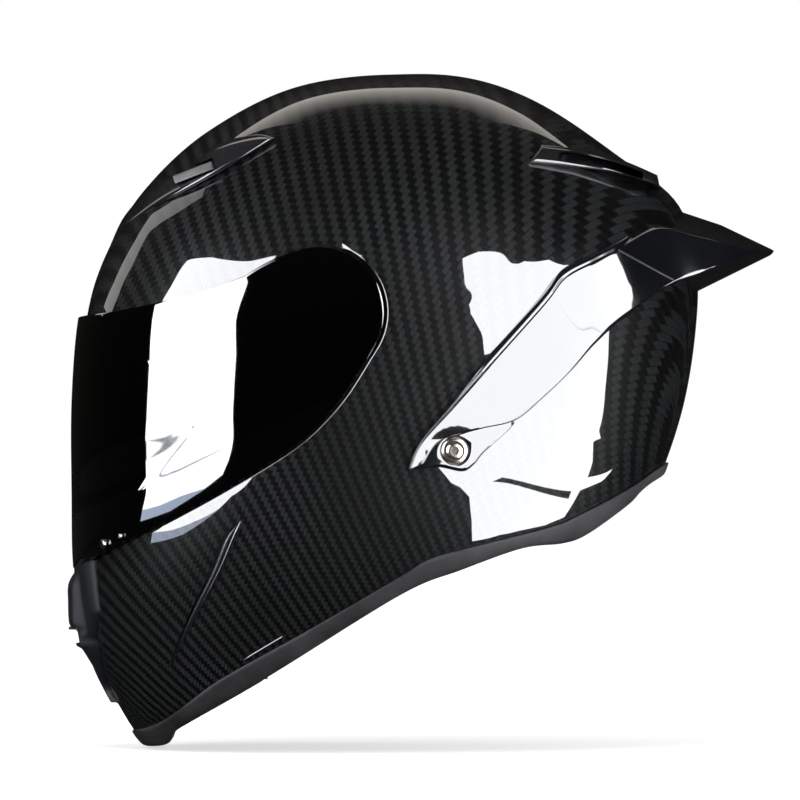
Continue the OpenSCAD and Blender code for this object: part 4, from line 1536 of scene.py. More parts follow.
@dataclass
class Visor:
    """The mirrored visor with its bright stud and tear-off posts."""

    outline: np.ndarray
    height: float = 4.0
    wall: float = 2.2
    about: tuple[float, float] = (-85.0, 18.0)
    columns: int = 260
    rows: int = 44
    fine: int = 7201

    def build(self) -> None:
        """Models the visor as one curved sheet with round edges."""
        angles = np.linspace(-180, 180, self.columns + 1)
        rim = polar(SKIN.rim(self.height, Rise.FLAT), self.about)
        border = polar(self.outline, self.about)
        fine = np.linspace(-180, 180, self.fine)
        side = np.interp(fine, *border, period=360) - np.interp(fine, *rim, period=360)
        corners = fine[1:][np.sign(side[1:]) != np.sign(side[:-1])]
        for corner in corners:
            angles[np.argmin(np.abs(angles - corner))] = corner
        fold = np.interp(angles, *rim, period=360)
        own = np.interp(angles, *border, period=360)
        for corner in corners:
            own[np.argmin(np.abs(angles - corner))] = np.inf
        end = np.minimum(own, fold)
        turn = np.radians(angles)
        last = 1 - np.sqrt(np.maximum(0, 1 - end / fold))
        rows = []
        for step in np.linspace(0, 1, self.rows):
            share = last * step
            distance = fold * (1 - (1 - share) ** 2)
            x, z = self.about[0] + distance * np.cos(turn), self.about[1] + distance * np.sin(turn)
            found = SKIN.on(x, z, self.height, Rise.FLAT)
            found[share > 0.9999, 1] = 0
            rows.append(found)
        visor = Bench.grid("visor_lens", np.stack(rows))
        Bench.weld(visor, 0.008)
        Bench.away(visor, (SKIN.centre[0], 0, SKIN.centre[1]))
        Bench.both_halves(visor)
        Bench.wall(visor, self.wall)
        Bench.round_edges(visor, 0.7, 3, 50)
        Bench.smooth(visor, 40)
        mounted(visor, "mirror_visor", "visor", "visor")

    def normal(self, x: float, z: float) -> tuple[np.ndarray, np.ndarray]:
        """The visor's outer face and its direction at a place on the left side.

        Args:
            x: The place, backwards.
            z: The place, upwards.

        Returns:
            The point and its outward direction.
        """
        spot = SKIN.on(np.array([x, x + 0.5, x]), np.array([z, z, z + 0.5]), self.height, Rise.FLAT)
        out = np.cross(spot[1] - spot[0], spot[2] - spot[0])
        out /= np.linalg.norm(out)
        return spot[0], out if out[1] < 0 else -out

    def button(self, name: str, place: tuple[float, float], radius: float, tall: float) -> bpy.types.Object:
        """A domed button that stands on the visor.

        Args:
            name: The new object's name.
            place: Its place in side view.
            radius: Its radius.
            tall: Its height.

        Returns:
            The new object.
        """
        spot, out = self.normal(*place)
        bpy.ops.object.select_all(action="DESELECT")
        bpy.ops.mesh.primitive_cylinder_add(vertices=48, radius=radius * MM, depth=tall * MM)
        button = Bench.fresh(name)
        Bench.round_edges(button, min(radius, tall) * 0.42, 5, 60)
        turn = math.acos(out[2]), math.atan2(out[1], out[0])
        bpy.ops.transform.rotate(value=-turn[0], orient_axis="Y", center_override=(0, 0, 0))
        bpy.ops.transform.rotate(value=-turn[1], orient_axis="Z", center_override=(0, 0, 0))
        at = (spot + out * (tall / 2 + 0.2)) * MM
        bpy.ops.transform.translate(value=tuple(at))
        bpy.ops.object.transform_apply(location=True, rotation=True, scale=True)
        Bench.smooth(button, 30)
        return button

    def dress(self) -> None:
        """Adds the stud and the posts."""
        mounted(self.button("visor_stud", (-136.5, -48), 2.3, 1.8), "bright_stud", "visor", "visor_lock_pin")
        post = self.button("tearoff_post_left", (-128.5, -44), 1.2, 1.4)
        other = Bench.twin(post, "tearoff_post_right")
        mounted(post, "steel", "visor", "tearoff_posts")
        mounted(other, "steel", "visor")


@dataclass
class Edges:
    """The rim trim round the neck and the gasket round the eye port."""

    trim_rows: Sequence[tuple[float, float]] = (
        (0, 0.6), (0.06, 1.2), (0.2, 1.4), (0.5, 1.5), (0.8, 1.4), (0.94, 1.2), (1, 0.6), (1, -0.3),
        (1, -3.3), (0.94, -4.5), (0.8, -4.9), (0.2, -4.9), (0.06, -4.6), (0, -4.0),
    )
    gasket_rows: Sequence[tuple[float, float]] = (
        (5, 0.1), (4.5, 0.9), (3, 1.3), (0, 1.4), (-2, 1.3), (-3, 0.8), (-3, -5.0), (-1.5, -5.5),
        (0, -5.4), (0, 0.1),
    )

    def trim(self) -> None:
        """Models the rubber that clasps the shell's lower edge."""
        places = np.linspace(0, 1, SKIN.fine)
        low, high = (evenly(bend(line, 16), places) for line in (TRIM_LOW, TRIM_HIGH))
        rows = [
            SKIN.row(low + (high - low) * share, height, Rise.OUTSIDE, 170, (True, True))
            for share, height in self.trim_rows
        ]
        trim = Bench.ring_of("rim_rubber", rows)
        Bench.smooth(trim, 50)
        mounted(trim, "rim_rubber", "shell", "rim_trim")

    def gasket(self) -> None:
        """Models the rubber round the eye port."""
        loop = bend((*PORT, PORT[0]), 16)
        rows = [
            SKIN.row(beside(loop, away), height, Rise.FLAT, 150, (True, True))
            for away, height in self.gasket_rows
        ]
        gasket = Bench.ring_of("port_gasket", rows)
        Bench.smooth(gasket, 50)
        mounted(gasket, "gasket_rubber", "shell", "eyeport_gasket")


@dataclass
class ChinVent:
    """The cover on the chin with its mouth, and the shutter inside."""

    front: Line = (
        (-139, -55.5), (-149.5, -59), (-155.5, -66.5), (-156.0, -76), (-155.5, -86), (-153.5, -89),
        (-152, -96.5), (-149.5, -98), (-143, -108), (-141, -107.5), (-136.5, -118), (-133.5, -121.5),
        (-132, -123),
    )
    back: Line = ((-139, -55.5), (-138, -72), (-141.5, -90), (-141, -96), (-137.5, -113), (-132, -123))
    height: float = 3.0
    half: float = 48.0
    nose_half: float = 32.0
    mouth_half: float = 26.0
    mouth: tuple[float, float] = (-95.5, -87.5)
    parts: Sequence[tuple[Sequence[float], Sequence[float]]] = (
        ((-150.5, 0, -82.75), (2.2, 56, 12.5)), ((-153.35, 0, -88.35), (4.5, 14, 1.3)),
    )

    def build(self) -> None:
        """Models the cover from rows that follow the chin."""
        z = np.linspace(-123, -55.5, 60)
        front, back = (
            np.array(sorted((p[1], p[0]) for p in bend(line, 6))) for line in (self.front, self.back)
        )
        nose, rear = (np.interp(z, line[:, 0], line[:, 1]) for line in (front, back))
        fold = SKIN.rim(0, Rise.OUTSIDE)
        low = fold[fold[:, 0] < -60]
        low = low[np.argsort(low[:, 1])]
        sill = np.interp(z, low[:, 1], low[:, 0])
        u = np.linspace(0, 1, 48)
        rows = []
        for height, tip, end, skin in zip(z, nose, rear, sill):
            along = np.linspace(skin, max(end, skin + 0.3), 200)
            deep = np.maximum.accumulate(np.abs(SKIN.on(along, height + 0 * along)[:, 1]))
            deep[0] = 0
            y = min(deep[-1], self.half) * (1 - u)
            x = np.interp(y, deep, along)
            ahead = max(skin - tip, self.height)
            rise = self.height + (ahead - self.height) * (1 - ramp(y, self.mouth_half + 1, self.nose_half))
            rows.append(np.stack([x - rise * np.sqrt(np.minimum(1, u * 8)), -y, height + 0 * y], axis=1))
        cover = Bench.grid("chin_cover", np.stack(rows))
        Bench.away(cover, (0, 0, -88))
        Bench.both_halves(cover)
        Bench.wall(cover, 2.0)
        size = (60, 2 * self.mouth_half, self.mouth[1] - self.mouth[0])
        Bench.cut(cover, Bench.box("mouth", (-150, 0, sum(self.mouth) / 2), size))
        Bench.round_edges(cover, 0.7, 2, 40)
        Bench.smooth(cover, 35)
        mounted(cover, "dull_plastic", "shell", "chin_vent_cover")

    def shutter(self) -> None:
        """Models the sliding shutter with its lever."""
        parts = []
        for name, (place, size) in zip(("chin_shutter", "lever"), self.parts):
            part = Bench.box(name, place, size)
            Bench.round_edges(part, 0.45, 3, 60)
            parts.append(part)
        shutter = Bench.join(parts)
        Bench.smooth(shutter, 40)
        mounted(shutter, "shutter_plastic", "chin_vent_shutter", "chin_vent_shutter")


@dataclass
class TopVents:
    """The smoked intakes over the brow, their sliders, and the extractors behind."""

    brow: Patch = Patch(
        ((-136, 92), (-130, 99), (-117.5, 107), (-98.5, 116), (-80, 126), (-57.5, 140)),
        ((-136, 92), (-129, 106), (-116, 119), (-98, 127), (-86.5, 137.5), (-67, 142), (-57.5, 140)),
        0.5, 3.0, kind=Rise.BROW,
    )
    extractor: Patch = Patch(
        ((59.5, 128.5), (80, 126.5), (98, 124), (112, 120.5), (121.5, 117)),
        ((65.5, 137), (88, 135), (104, 131), (121, 124.5)),
        0.0, 2.4, kind=Rise.EXTRACTOR, tilt=3.2,
    )

    def pair(self, patch: Patch, name: str, nodes: str, slot_lines: tuple, floor: float) -> None:
        """Models a housing for each side, with its slot.

        Args:
            patch: The housing's form.
            name: The pieces' name without the side.
            nodes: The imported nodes' name without the side.
            slot_lines: The slot's two long sides in side view.
            floor: Height of the slot's floor over the skin.
        """
        left = patch.build(f"{name}_left")
        Bench.cut(left, slab("slot", *slot_lines, floor, 16, Rise.OUTSIDE))
        right = Bench.twin(left, f"{name}_right")
        mounted(left, "vent_plastic", "shell", f"{nodes}_left")
        mounted(right, "vent_plastic", "shell", f"{nodes}_right")

    def build(self) -> None:
        """Models the vents and the sliders."""
        line = bar_ends((-110.5, 118.6), (-85.5, 128.5), 3.1)
        self.pair(self.brow, "brow_intake", "brow_vent", line, 1.7)
        low = evenly(bend(((72.5, 129.5), (90, 127.5), (113, 121.5)), 12), np.linspace(0, 1, 40))
        high = evenly(bend(((74, 133.5), (80, 133.5), (96, 130.5), (113, 125)), 12), np.linspace(0, 1, 40))
        self.pair(self.extractor, "rear_outlet", "rear_extractor", (low, high), 1.3)
        left = slab("brow_slide_left", *bar_ends((-105, 121), (-87, 127.5), 1.9), 2.4, 4.6, Rise.FLAT)
        Bench.round_edges(left, 0.5, 3, 50)
        Bench.smooth(left, 40)
        right = Bench.twin(left, "brow_slide_right")
        mounted(left, "slider_silver", "brow_slider_left", "brow_slider_left")
        mounted(right, "slider_silver", "brow_slider_right", "brow_slider_right")


@dataclass
class Spoiler:
    """The wing behind, whose arms run down to a screwed foot on each side."""

    wing: Sequence[Line] = (
        ((124, 0, 110), (151, 0, 101), (176, 0, 89), (174.5, 0, 87), (132, 0, 66)),
        ((122, 26, 107), (147, 26, 99.5), (168, 28, 88.4), (166.5, 28, 86.2), (128, 26, 67)),
        ((116, 42, 103), (137, 44, 98.5), (154, 48, 91.2), (155, 49, 83.5), (120, 44, 68)),
        ((108, 54, 100), (124, 56, 98.5), (137, 60, 95.2), (144, 63, 79.5), (112, 58, 66)),
        ((102, 64, 98), (113, 67, 99), (120, 70, 98.5), (128, 73, 73.5), (104, 68, 62)),
    )
    arm: Sequence[tuple[Sequence[float], Sequence[float]]] = (
        ((101.5, 92), (109.5, 61.5)), ((89, 85.5), (98, 53)), ((75, 78), (89, 44.5)),
        ((65.5, 66), (79, 33)), ((42, 39.5), (66, 20.5)), ((33, 29), (52.5, 9.5)),
        ((24, 17.5), (37, 5.5)), ((9, -1), (18.5, 0)), ((4, -13), (11, -10)),
    )
    arm_section: Sequence[tuple[float, float]] = (
        (-0.04, -2.5), (0, 4.2), (0.05, 4.9), (0.075, 4.3), (0.1, 5.0), (1.0, 3.5), (1.03, -2.5),
    )
    foot: Line = (
        (4, -13.5), (9, -3), (19, 1), (27, 4), (53, 9.5), (38.5, -5.5), (34, -11), (28.5, -14), (17, -12),
    )
    screw: tuple[float, float] = (25.0, -4.5)
    dish: Line = ((0.001, 1.4), (3.5, 1.4), (6.1, 1.4), (6.3, 1.5), (6.6, 2.3), (7.2, 2.6))
    head: Line = (
        (0, 0.2), (6, 0.2), (6, 2.2), (5.8, 2.8), (5.2, 3.1), (4.7, 3.2), (4.5, 2.6), (3.9, 2.6), (3.7, 3.5),
        (3.2, 3.9), (2.6, 4.1), (0, 4.1),
    )
    socket: Line = ((0, 2.2), (2.0, 2.2), (2.0, 5), (0, 5))
    pin: Line = ((0, 1.8), (0.6, 1.8), (0.6, 3.3), (0.4, 3.5), (0, 3.5))
    seal: Line = ((3.8, 2.4), (4.6, 2.4), (4.55, 2.9), (4.2, 3.05), (3.85, 2.9), (3.8, 2.4))
    seam: Line = ((100.5, 88), (113, 81.5), (126.5, 74.5))
    radius: float = 1.3

    def corners(self) -> np.ndarray:
        """The seven corners of every section from the middle down to the foot, on the left.

        Returns:
            The corners, as sections by 7 by 3.
        """
        sections = []
        for row in self.wing:
            seat, crown, ridge, edge, root = (np.array((x, -y, z), float) for x, y, z in row)
            near = crown + 0.08 * (seat - crown), crown, crown + 0.08 * (ridge - crown)
            sections.append(np.stack([seat, *near, ridge, edge, root]))
        shares, heights = np.asarray(self.arm_section, float).T
        for ridge, edge in self.arm:
            a, b = np.asarray(ridge, float), np.asarray(edge, float)
            flat = a + (b - a) * shares[:, None]
            found = SKIN.on(flat[:, 0], flat[:, 1], 0.0, Rise.OUTSIDE)
            found[:, 1] -= heights
            sections.append(found)
        return np.asarray(sections)

    def half(self) -> np.ndarray:
        """The left half's rows, each a section with round corners.

        Returns:
            The rows of points.
        """
        sections = self.corners()
        count = sections.shape[1]
        fine = np.stack([bend(sections[:, k], 8) for k in range(count)], axis=1)
        rows = []
        for section in fine:
            ring = []
            for k in range(count):
                here, before, after = section[k], section[k - 1], section[(k + 1) % count]
                back, on = before - here, after - here
                far_back, far_on = np.linalg.norm(back), np.linalg.norm(on)
                a = here + back / (far_back + 1e-9) * min(self.radius, 0.3 * far_back)
                b = here + on / (far_on + 1e-9) * min(self.radius, 0.3 * far_on)
                for t in (0, 0.25, 0.5, 0.75, 1):
                    ring.append((1 - t) ** 2 * a + 2 * t * (1 - t) * here + t**2 * b)
            rows.append(ring)
        return np.asarray(rows)

    def build(self) -> None:
        """Models the wing, its arms and its feet as one piece."""
        rows = self.half()
        obj = Bench.grid("spoiler_wing", np.concatenate([rows, rows[:, :1]], axis=1))
        Bench.weld(obj, 0.01)
        Bench.both_halves(obj)
        Bench.capped(obj)
        spoiler = Bench.join([obj, *self.feet()])
        Bench.smooth(spoiler, 30)
        self.seams(spoiler)
        mounted(spoiler, "spoiler_plastic", "shell", "spoiler")

    def seams(self, spoiler: bpy.types.Object) -> None:
        """Lays the raised seam between the wing and each arm on the outer face.

        Args:
            spoiler: The finished spoiler.
        """
        line = evenly(bend(self.seam, 8), np.linspace(0, 1, 40))
        hits = [spoiler.ray_cast((x * MM, -0.3, z * MM), (0, 1, 0)) for x, z in line]
        at = np.array([tuple(place) for hit, place, _, _ in hits if hit]) / MM
        if len(at) < 3:
            return
        left = Bench.swept("spoiler_seam_left", at, np.array([0.0, 1.0, 0.0]), Bench.round_section(0.5, 8))
        right = Bench.twin(left, "spoiler_seam_right")
        for seam in (left, right):
            mounted(seam, "dark_plastic", "shell")

    def feet(self) -> tuple[bpy.types.Object, bpy.types.Object]:
        """Models the foot round each screw.

        Returns:
            The left and the right foot.
        """
        angles = np.linspace(-180, 180, 121)
        end = np.interp(angles, *polar(bend(self.foot, 10, closed=True), self.screw), period=360)
        turn = np.radians(angles)
        rows = []
        for r, height in self.dish:
            x, z = self.screw[0] + r * np.cos(turn), self.screw[1] + r * np.sin(turn)
            rows.append(SKIN.on(x, z, height, Rise.OUTSIDE))
        brim, tall = self.dish[-1]
        end = np.maximum(end, brim + 0.2)
        for share in np.linspace(0, 1, 14)[1:]:
            r = brim + (end - brim) * share
            left = end - r
            height = tall * np.sqrt(1 - (1 - np.minimum(left / 1.6, 1)) ** 2) - 0.3 * (left < 0.01)
            x, z = self.screw[0] + r * np.cos(turn), self.screw[1] + r * np.sin(turn)
            rows.append(SKIN.on(x, z, height, Rise.OUTSIDE))
        foot = Bench.grid("foot", np.stack(rows))
        Bench.weld(foot, 0.01)
        Bench.away(foot, (self.screw[0], 0, self.screw[1]))
        other = Bench.twin(foot, "foot_right")
        Bench.wall(foot, 1.0)
        Bench.wall(other, 1.0)
        return foot, other

    def turned(self, name: str, profile: Line, sides: int = 64) -> bpy.types.Object:
        """Turns a profile of radii and heights about the left foot's screw.

        Args:
            name: The new object's name.
            profile: The radii and the heights over the skin, from the bottom's middle to the top's.
            sides: How many sides the round has.

        Returns:
            The closed piece.
        """
        x, z = self.screw
        deep = float(SKIN.on(np.array([x]), np.array([z]), 0.0, Rise.OUTSIDE)[0, 1])
        turn = np.linspace(0, 2 * np.pi, sides + 1)
        rows = [
            np.stack([x + r * np.cos(turn), deep - h + 0 * turn, z + r * np.sin(turn)], axis=1)
            for r, h in profile
        ]
        obj = Bench.grid(name, np.stack(rows))
        Bench.weld(obj, 0.005)
        Bench.outward(obj)
        return obj

    def screws(self) -> None:
        """Models the button head with its socket and pin, and the dark ring let into it, on each foot."""
        head = self.turned("foot_screw_left", self.head)
        Bench.cut(head, self.turned("socket", self.socket, 6))
        head = Bench.join([head, self.turned("pin", self.pin, 20)])
        Bench.smooth(head, 30)
        seal = self.turned("foot_seal_left", self.seal)
        Bench.smooth(seal, 60)
        for left, slot, *nodes in ((head, "screw_metal", "spoiler_screws"), (seal, "gasket_rubber")):
            right = Bench.twin(left, left.name.replace("left", "right"))
            mounted(left, slot, "shell", *nodes)
            mounted(right, slot, "shell")


@dataclass
class Straps:
    """The chin strap: the left end's loop round the two rings, and the right end folded through them."""

    route: Line = (
        (33, -102, -16), (32, -101, -30), (25, -93, -43), (6, -75, -54), (-13, -54, -63), (-30, -30, -71.5),
        (-35, 0, -75.5),
    )
    width: float = 24.0
    thickness: float = 2.0
    ring_step: int = 13
    ring_bar: float = 2.0
    ring_apart: float = 2.15
    loop: float = 2.3
    fold: Line = ((5.9, 0), (5.9, 3.45), (7.8, 5.15), (12, 5.45), (20, 5.45))
    tail: Line = ((27, -6.05), (23.5, -5.45))

    def section(self, width: float) -> np.ndarray:
        """A flat band's section with round edges.

        Args:
            width: The band's width.

        Returns:
            The section's outline.
        """
        turn = np.linspace(0, 2 * np.pi, 20, endpoint=False) + np.pi / 20
        round_end = self.thickness / 2 * np.stack([np.cos(turn), np.sin(turn)], axis=1)
        apart = np.sign(round_end[:, 0]) * (width - self.thickness) / 2
        return round_end + np.stack([apart, 0 * turn], axis=1)

    def build(self) -> None:
        """Models both bands."""
        half = bend(self.route, 3)
        along = half[self.ring_step + 1] - half[self.ring_step - 1]
        along /= np.linalg.norm(along)
        wide = np.array([1.0, 0, 0]) - along[0] * along
        wide /= np.linalg.norm(wide)
        tall = np.cross(wide, along)
        place = half[self.ring_step] + along * (self.loop + self.thickness - 0.6)

        def at_ring(points: Line) -> np.ndarray:
            """Points beside the rings, given along the strap and across its face."""
            flat = np.asarray(points, float)
            return place + flat[:, :1] * along + flat[:, 1:] * tall

        x_way = np.array([1.0, 0.0, 0.0])
        first = bend(np.vstack([half[: self.ring_step], at_ring(((-2.4, 0),))]), 4)
        middle = self.loop + self.thickness / 2
        turn = np.radians(np.linspace(180, 0, 16))
        upper = np.stack([middle * np.cos(turn), self.ring_apart + middle * np.sin(turn)], axis=1)
        round_bars = at_ring(np.vstack([(-middle, 0.3), upper, upper[::-1] * (1, -1), (-middle, -0.3)]))
        band = Bench.swept("strap_band_left", first, x_way, self.section(self.width))
        eye = Bench.swept("strap_eye", round_bars, wide, self.section(self.width - 1))
        left = Bench.join([band, eye])
        mounted(left, "webbing", "shell", "strap_left")
        under = [(y, -z) for y, z in self.fold[:0:-1]]
        folded = at_ring([*self.tail, *under, *self.fold])
        whole = np.vstack([half, half[-2::-1] * (1, -1, 1)])
        rest = whole[self.ring_step + 5:]
        ways = np.vstack([np.broadcast_to(wide, folded.shape), np.broadcast_to(x_way, rest.shape)])
        route, ways = bend(np.vstack([folded, rest]), 5), bend(ways, 5)
        right = Bench.swept("strap_band_right", route, ways, self.section(self.width))
        mounted(right, "webbing", "shell", "strap_right")


@dataclass
class Curtain:
    """The thin cloth under the chin, with its hem."""

    sunk: float = 5.3
    lift: float = 0.2
    back: float = -62.0
    hole: tuple[float, float, float] = (-28.0, 52.0, 74.0)
    cloth: float = 1.1
    hem: float = 0.8
    hem_lift: float = 0.5

    def edges(self) -> tuple[np.ndarray, np.ndarray]:
        """The outer and the inner edge of the left half, from the middle to its end.

        Returns:
            The points of each edge.
        """
        low = bend(np.asarray(TRIM_LOW) + (0, self.lift), 16)
        low = low[low[:, 0] <= self.back]
        outer = SKIN.row(low, -self.sunk, Rise.OUTSIDE, 60, (True, False))
        centre, long, wide = self.hole
        last = math.acos((self.back - centre) / -long)
        turn = np.linspace(0, last, 60)
        x = centre - long * np.cos(turn)
        return outer, np.stack([x, -wide * np.sin(turn), np.interp(x, low[:, 0], low[:, 1])], axis=1)

    def build(self) -> None:
        """Models the curtain as one sheet."""
        outer, inner = self.edges()
        low = bend(np.asarray(TRIM_LOW) + (0, self.lift), 16)
        share = np.linspace(0, 1, 24)[:, None, None]
        points = outer[None] + (inner - outer)[None] * share
        points[..., 2] = np.interp(points[..., 0], low[:, 0], low[:, 1])
        curtain = Bench.grid("chin_cloth", points)
        Bench.away(curtain, (0, 0, 200))
        Bench.both_halves(curtain)
        Bench.modify(curtain, "SOLIDIFY", thickness=self.cloth * MM, offset=0, use_even_offset=False)
        Bench.smooth(curtain, 50)
        mounted(curtain, "curtain_fabric", "shell", "chin_curtain")
        whole = np.vstack([inner[::-1], inner[1:] * (1, -1, 1)]) + (0, 0, self.hem_lift)
        section = Bench.round_section(self.hem, 12)
        hem = Bench.swept("chin_cloth_hem", whole, np.array([0.0, 0.0, 1.0]), section)
        mounted(hem, "curtain_fabric", "shell")


@dataclass
class Linings:
    """The foam and the padded linings inside the shell."""

    foam: Sequence[tuple[str, str, float]] = (
        ("eps_liner", "foam_liner", 2.6), ("eps_cheek_left", "foam_cheek_left", 2.2),
        ("eps_cheek_right", "foam_cheek_right", 2.2), ("eps_chin", "foam_chin", 2.2),
    )
    pads: Sequence[tuple[str, str, Sequence[tuple[int, float]]]] = (
        ("crown_pad", "crown_lining", ((1, -26), (1, 26), (0, -48), (0, 38))),
        ("cheek_pad_left", "cheek_lining_left", ((0, -72), (0, -44), (0, -16))),
        ("cheek_pad_right", "cheek_lining_right", ((0, -72), (0, -44), (0, -16))),
        ("neck_roll", "neck_lining", ((1, -50), (1, 0), (1, 50))),
    )
    cell: float = 4.0
    slack: float = 1.5
    most: float = 1.8
    seam_depth: float = 1.3
    seam_width: float = 2.6

    def rounded(self, node: str, name: str, voxel: float, turns: int) -> bpy.types.Object:
        """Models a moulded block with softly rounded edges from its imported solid.

        Args:
            node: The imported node.
            name: The new object's name.
            voxel: Size of the new mesh's cells in millimetres.
            turns: How often the surface is evened out.

        Returns:
            The new object.
        """
        obj = Bench.copy_of(node, name)
        Bench.modify(obj, "REMESH", mode="VOXEL", voxel_size=voxel * MM, use_smooth_shade=True)
        Bench.modify(obj, "SMOOTH", factor=0.5, iterations=turns)
        Bench.smooth(obj, 60)
        return obj

    @staticmethod
    def points(obj: bpy.types.Object) -> tuple[np.ndarray, np.ndarray]:
        """A mesh's places and directions at its vertices, in millimetres.

        Args:
            obj: The mesh object.

        Returns:
            The places and the directions.
        """
        place = np.zeros(len(obj.data.vertices) * 3, np.float32)
        out = np.zeros_like(place)
        obj.data.vertices.foreach_get("co", place)
        obj.data.vertices.foreach_get("normal", out)
        return place.reshape(-1, 3) / MM, out.reshape(-1, 3)

    @staticmethod
    def move(obj: bpy.types.Object, place: np.ndarray) -> None:
        """Puts a mesh's vertices at places in millimetres."""
        obj.data.vertices.foreach_set("co", (place * MM).astype(np.float32).ravel())
        obj.data.update()

    def swollen(self, node: str, name: str, channels: Sequence[tuple[int, float]]) -> bpy.types.Object:
        """Models a stuffed pad that swells between its sewn channels.

        Args:
            node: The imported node.
            name: The new object's name.
            channels: The axis and the place along it of each channel.

        Returns:
            The new object.
        """
        obj = Bench.copy_of(node, name)
        Bench.modify(obj, "REMESH", mode="VOXEL", voxel_size=self.cell * MM, use_smooth_shade=True)
        place, out = self.points(obj)
        rest = place - out * self.slack
        self.move(obj, rest)
        cloth = obj.modifiers.new("Cloth", "CLOTH")
        cloth.settings.use_pressure = True
        cloth.settings.uniform_pressure_force = 4
        cloth.settings.effector_weights.gravity = 0
        for step in range(1, 21):
            bpy.context.scene.frame_set(step)
        Bench.take(obj)
        bpy.ops.object.modifier_apply(modifier=cloth.name)
        way = self.points(obj)[0] - rest
        length = np.linalg.norm(way, axis=1)[:, None]
        self.move(obj, rest + way * np.minimum(1, self.most / np.maximum(length, 1e-6)))
        bpy.context.scene.frame_set(1)
        Bench.modify(obj, "SUBSURF", levels=1, render_levels=1)
        place, out = self.points(obj)
        sunk = sum(np.exp(-(((place[:, axis] - at) / self.seam_width) ** 2)) for axis, at in channels)
        self.move(obj, place - out * (self.seam_depth * np.minimum(sunk, 1))[:, None])
        Bench.smooth(obj, 60)
        return obj

    def build(self) -> None:
        """Models the foam, the pads and the breath guard."""
        for node, name, voxel in self.foam:
            mounted(self.rounded(node, name, voxel, 3), "foam", "shell", node)
        for node, name, channels in self.pads:
            pad = self.swollen(node, name, channels)
            mounted(pad, "lining_fabric", "shell", node)
        guard = self.rounded("breath_guard", "breath_deflector", 0.9, 4)
        mounted(guard, "guard_rubber", "shell", "breath_guard")


KEPT: dict[str, str] = {
    "pivot_plate_left": "dark_plastic", "pivot_plate_right": "dark_plastic",
    "pivot_screws": "steel", "visor_hub_left": "dark_plastic", "visor_hub_right": "dark_plastic",
    "d_rings": "ring_steel", "strap_anchors": "steel", "chin_vent_mesh": "mesh_steel",
}


@dataclass(frozen=True)
class Card:
    """A bright panel far off, given by the heights of its rows and where each starts and stops.

    Directions are in degrees. They count from the camera's side, and grow towards the back.
    """

    name: str
    rows: Sequence[tuple[float, float, float]]
    light: float
    tint: Colour = (1.0, 1.0, 1.0)
    fade: tuple[float, float] | None = None


@dataclass(frozen=True)
class Sheet:
    """A glowing sheet on the dark table, given by its corners in plan in millimetres."""

    name: str
    corners: Line
    light: float
    tint: Colour = (0.97, 0.98, 1.0)
    lift: float = 0.0


def glowing(
    name: str, colour: Colour, strength: float | tuple[float, float, float, float],
) -> bpy.types.Material:
    """A material that only glows.

    Args:
        name: The material's name.
        colour: Its colour.
        strength: Its strength, where 1 is white, or two heights in metres and the strength at each.

    Returns:
        The material.
    """
    material = bpy.data.materials.new(name)
    nodes = emptied(material)
    if isinstance(strength, tuple):
        height = nodes.add("SeparateXYZ", {0: nodes.add("TexCoord").outputs["Object"]}).outputs[2]
        strength = nodes.span(height, *strength)
    glow = nodes.add("Emission", {0: (*colour, 1), 1: strength})
    nodes.add("OutputMaterial", {"Surface": glow.outputs[0]})
    return material


def looked_at(nodes: Nodes) -> bpy.types.NodeSocket:
    """Tells where the camera, metal or glass sees the surface, and where light only falls on it.

    Args:
        nodes: The nodes of the material or the world.

    Returns:
        1 where it is seen, and 0 elsewhere.
    """
    rays = nodes.add("LightPath")
    seen = nodes.maths("ADD", rays.outputs["Is Camera Ray"], rays.outputs["Is Glossy Ray"])
    return nodes.maths("MINIMUM", nodes.maths("ADD", seen, rays.outputs["Is Transmission Ray"]), 1.0)


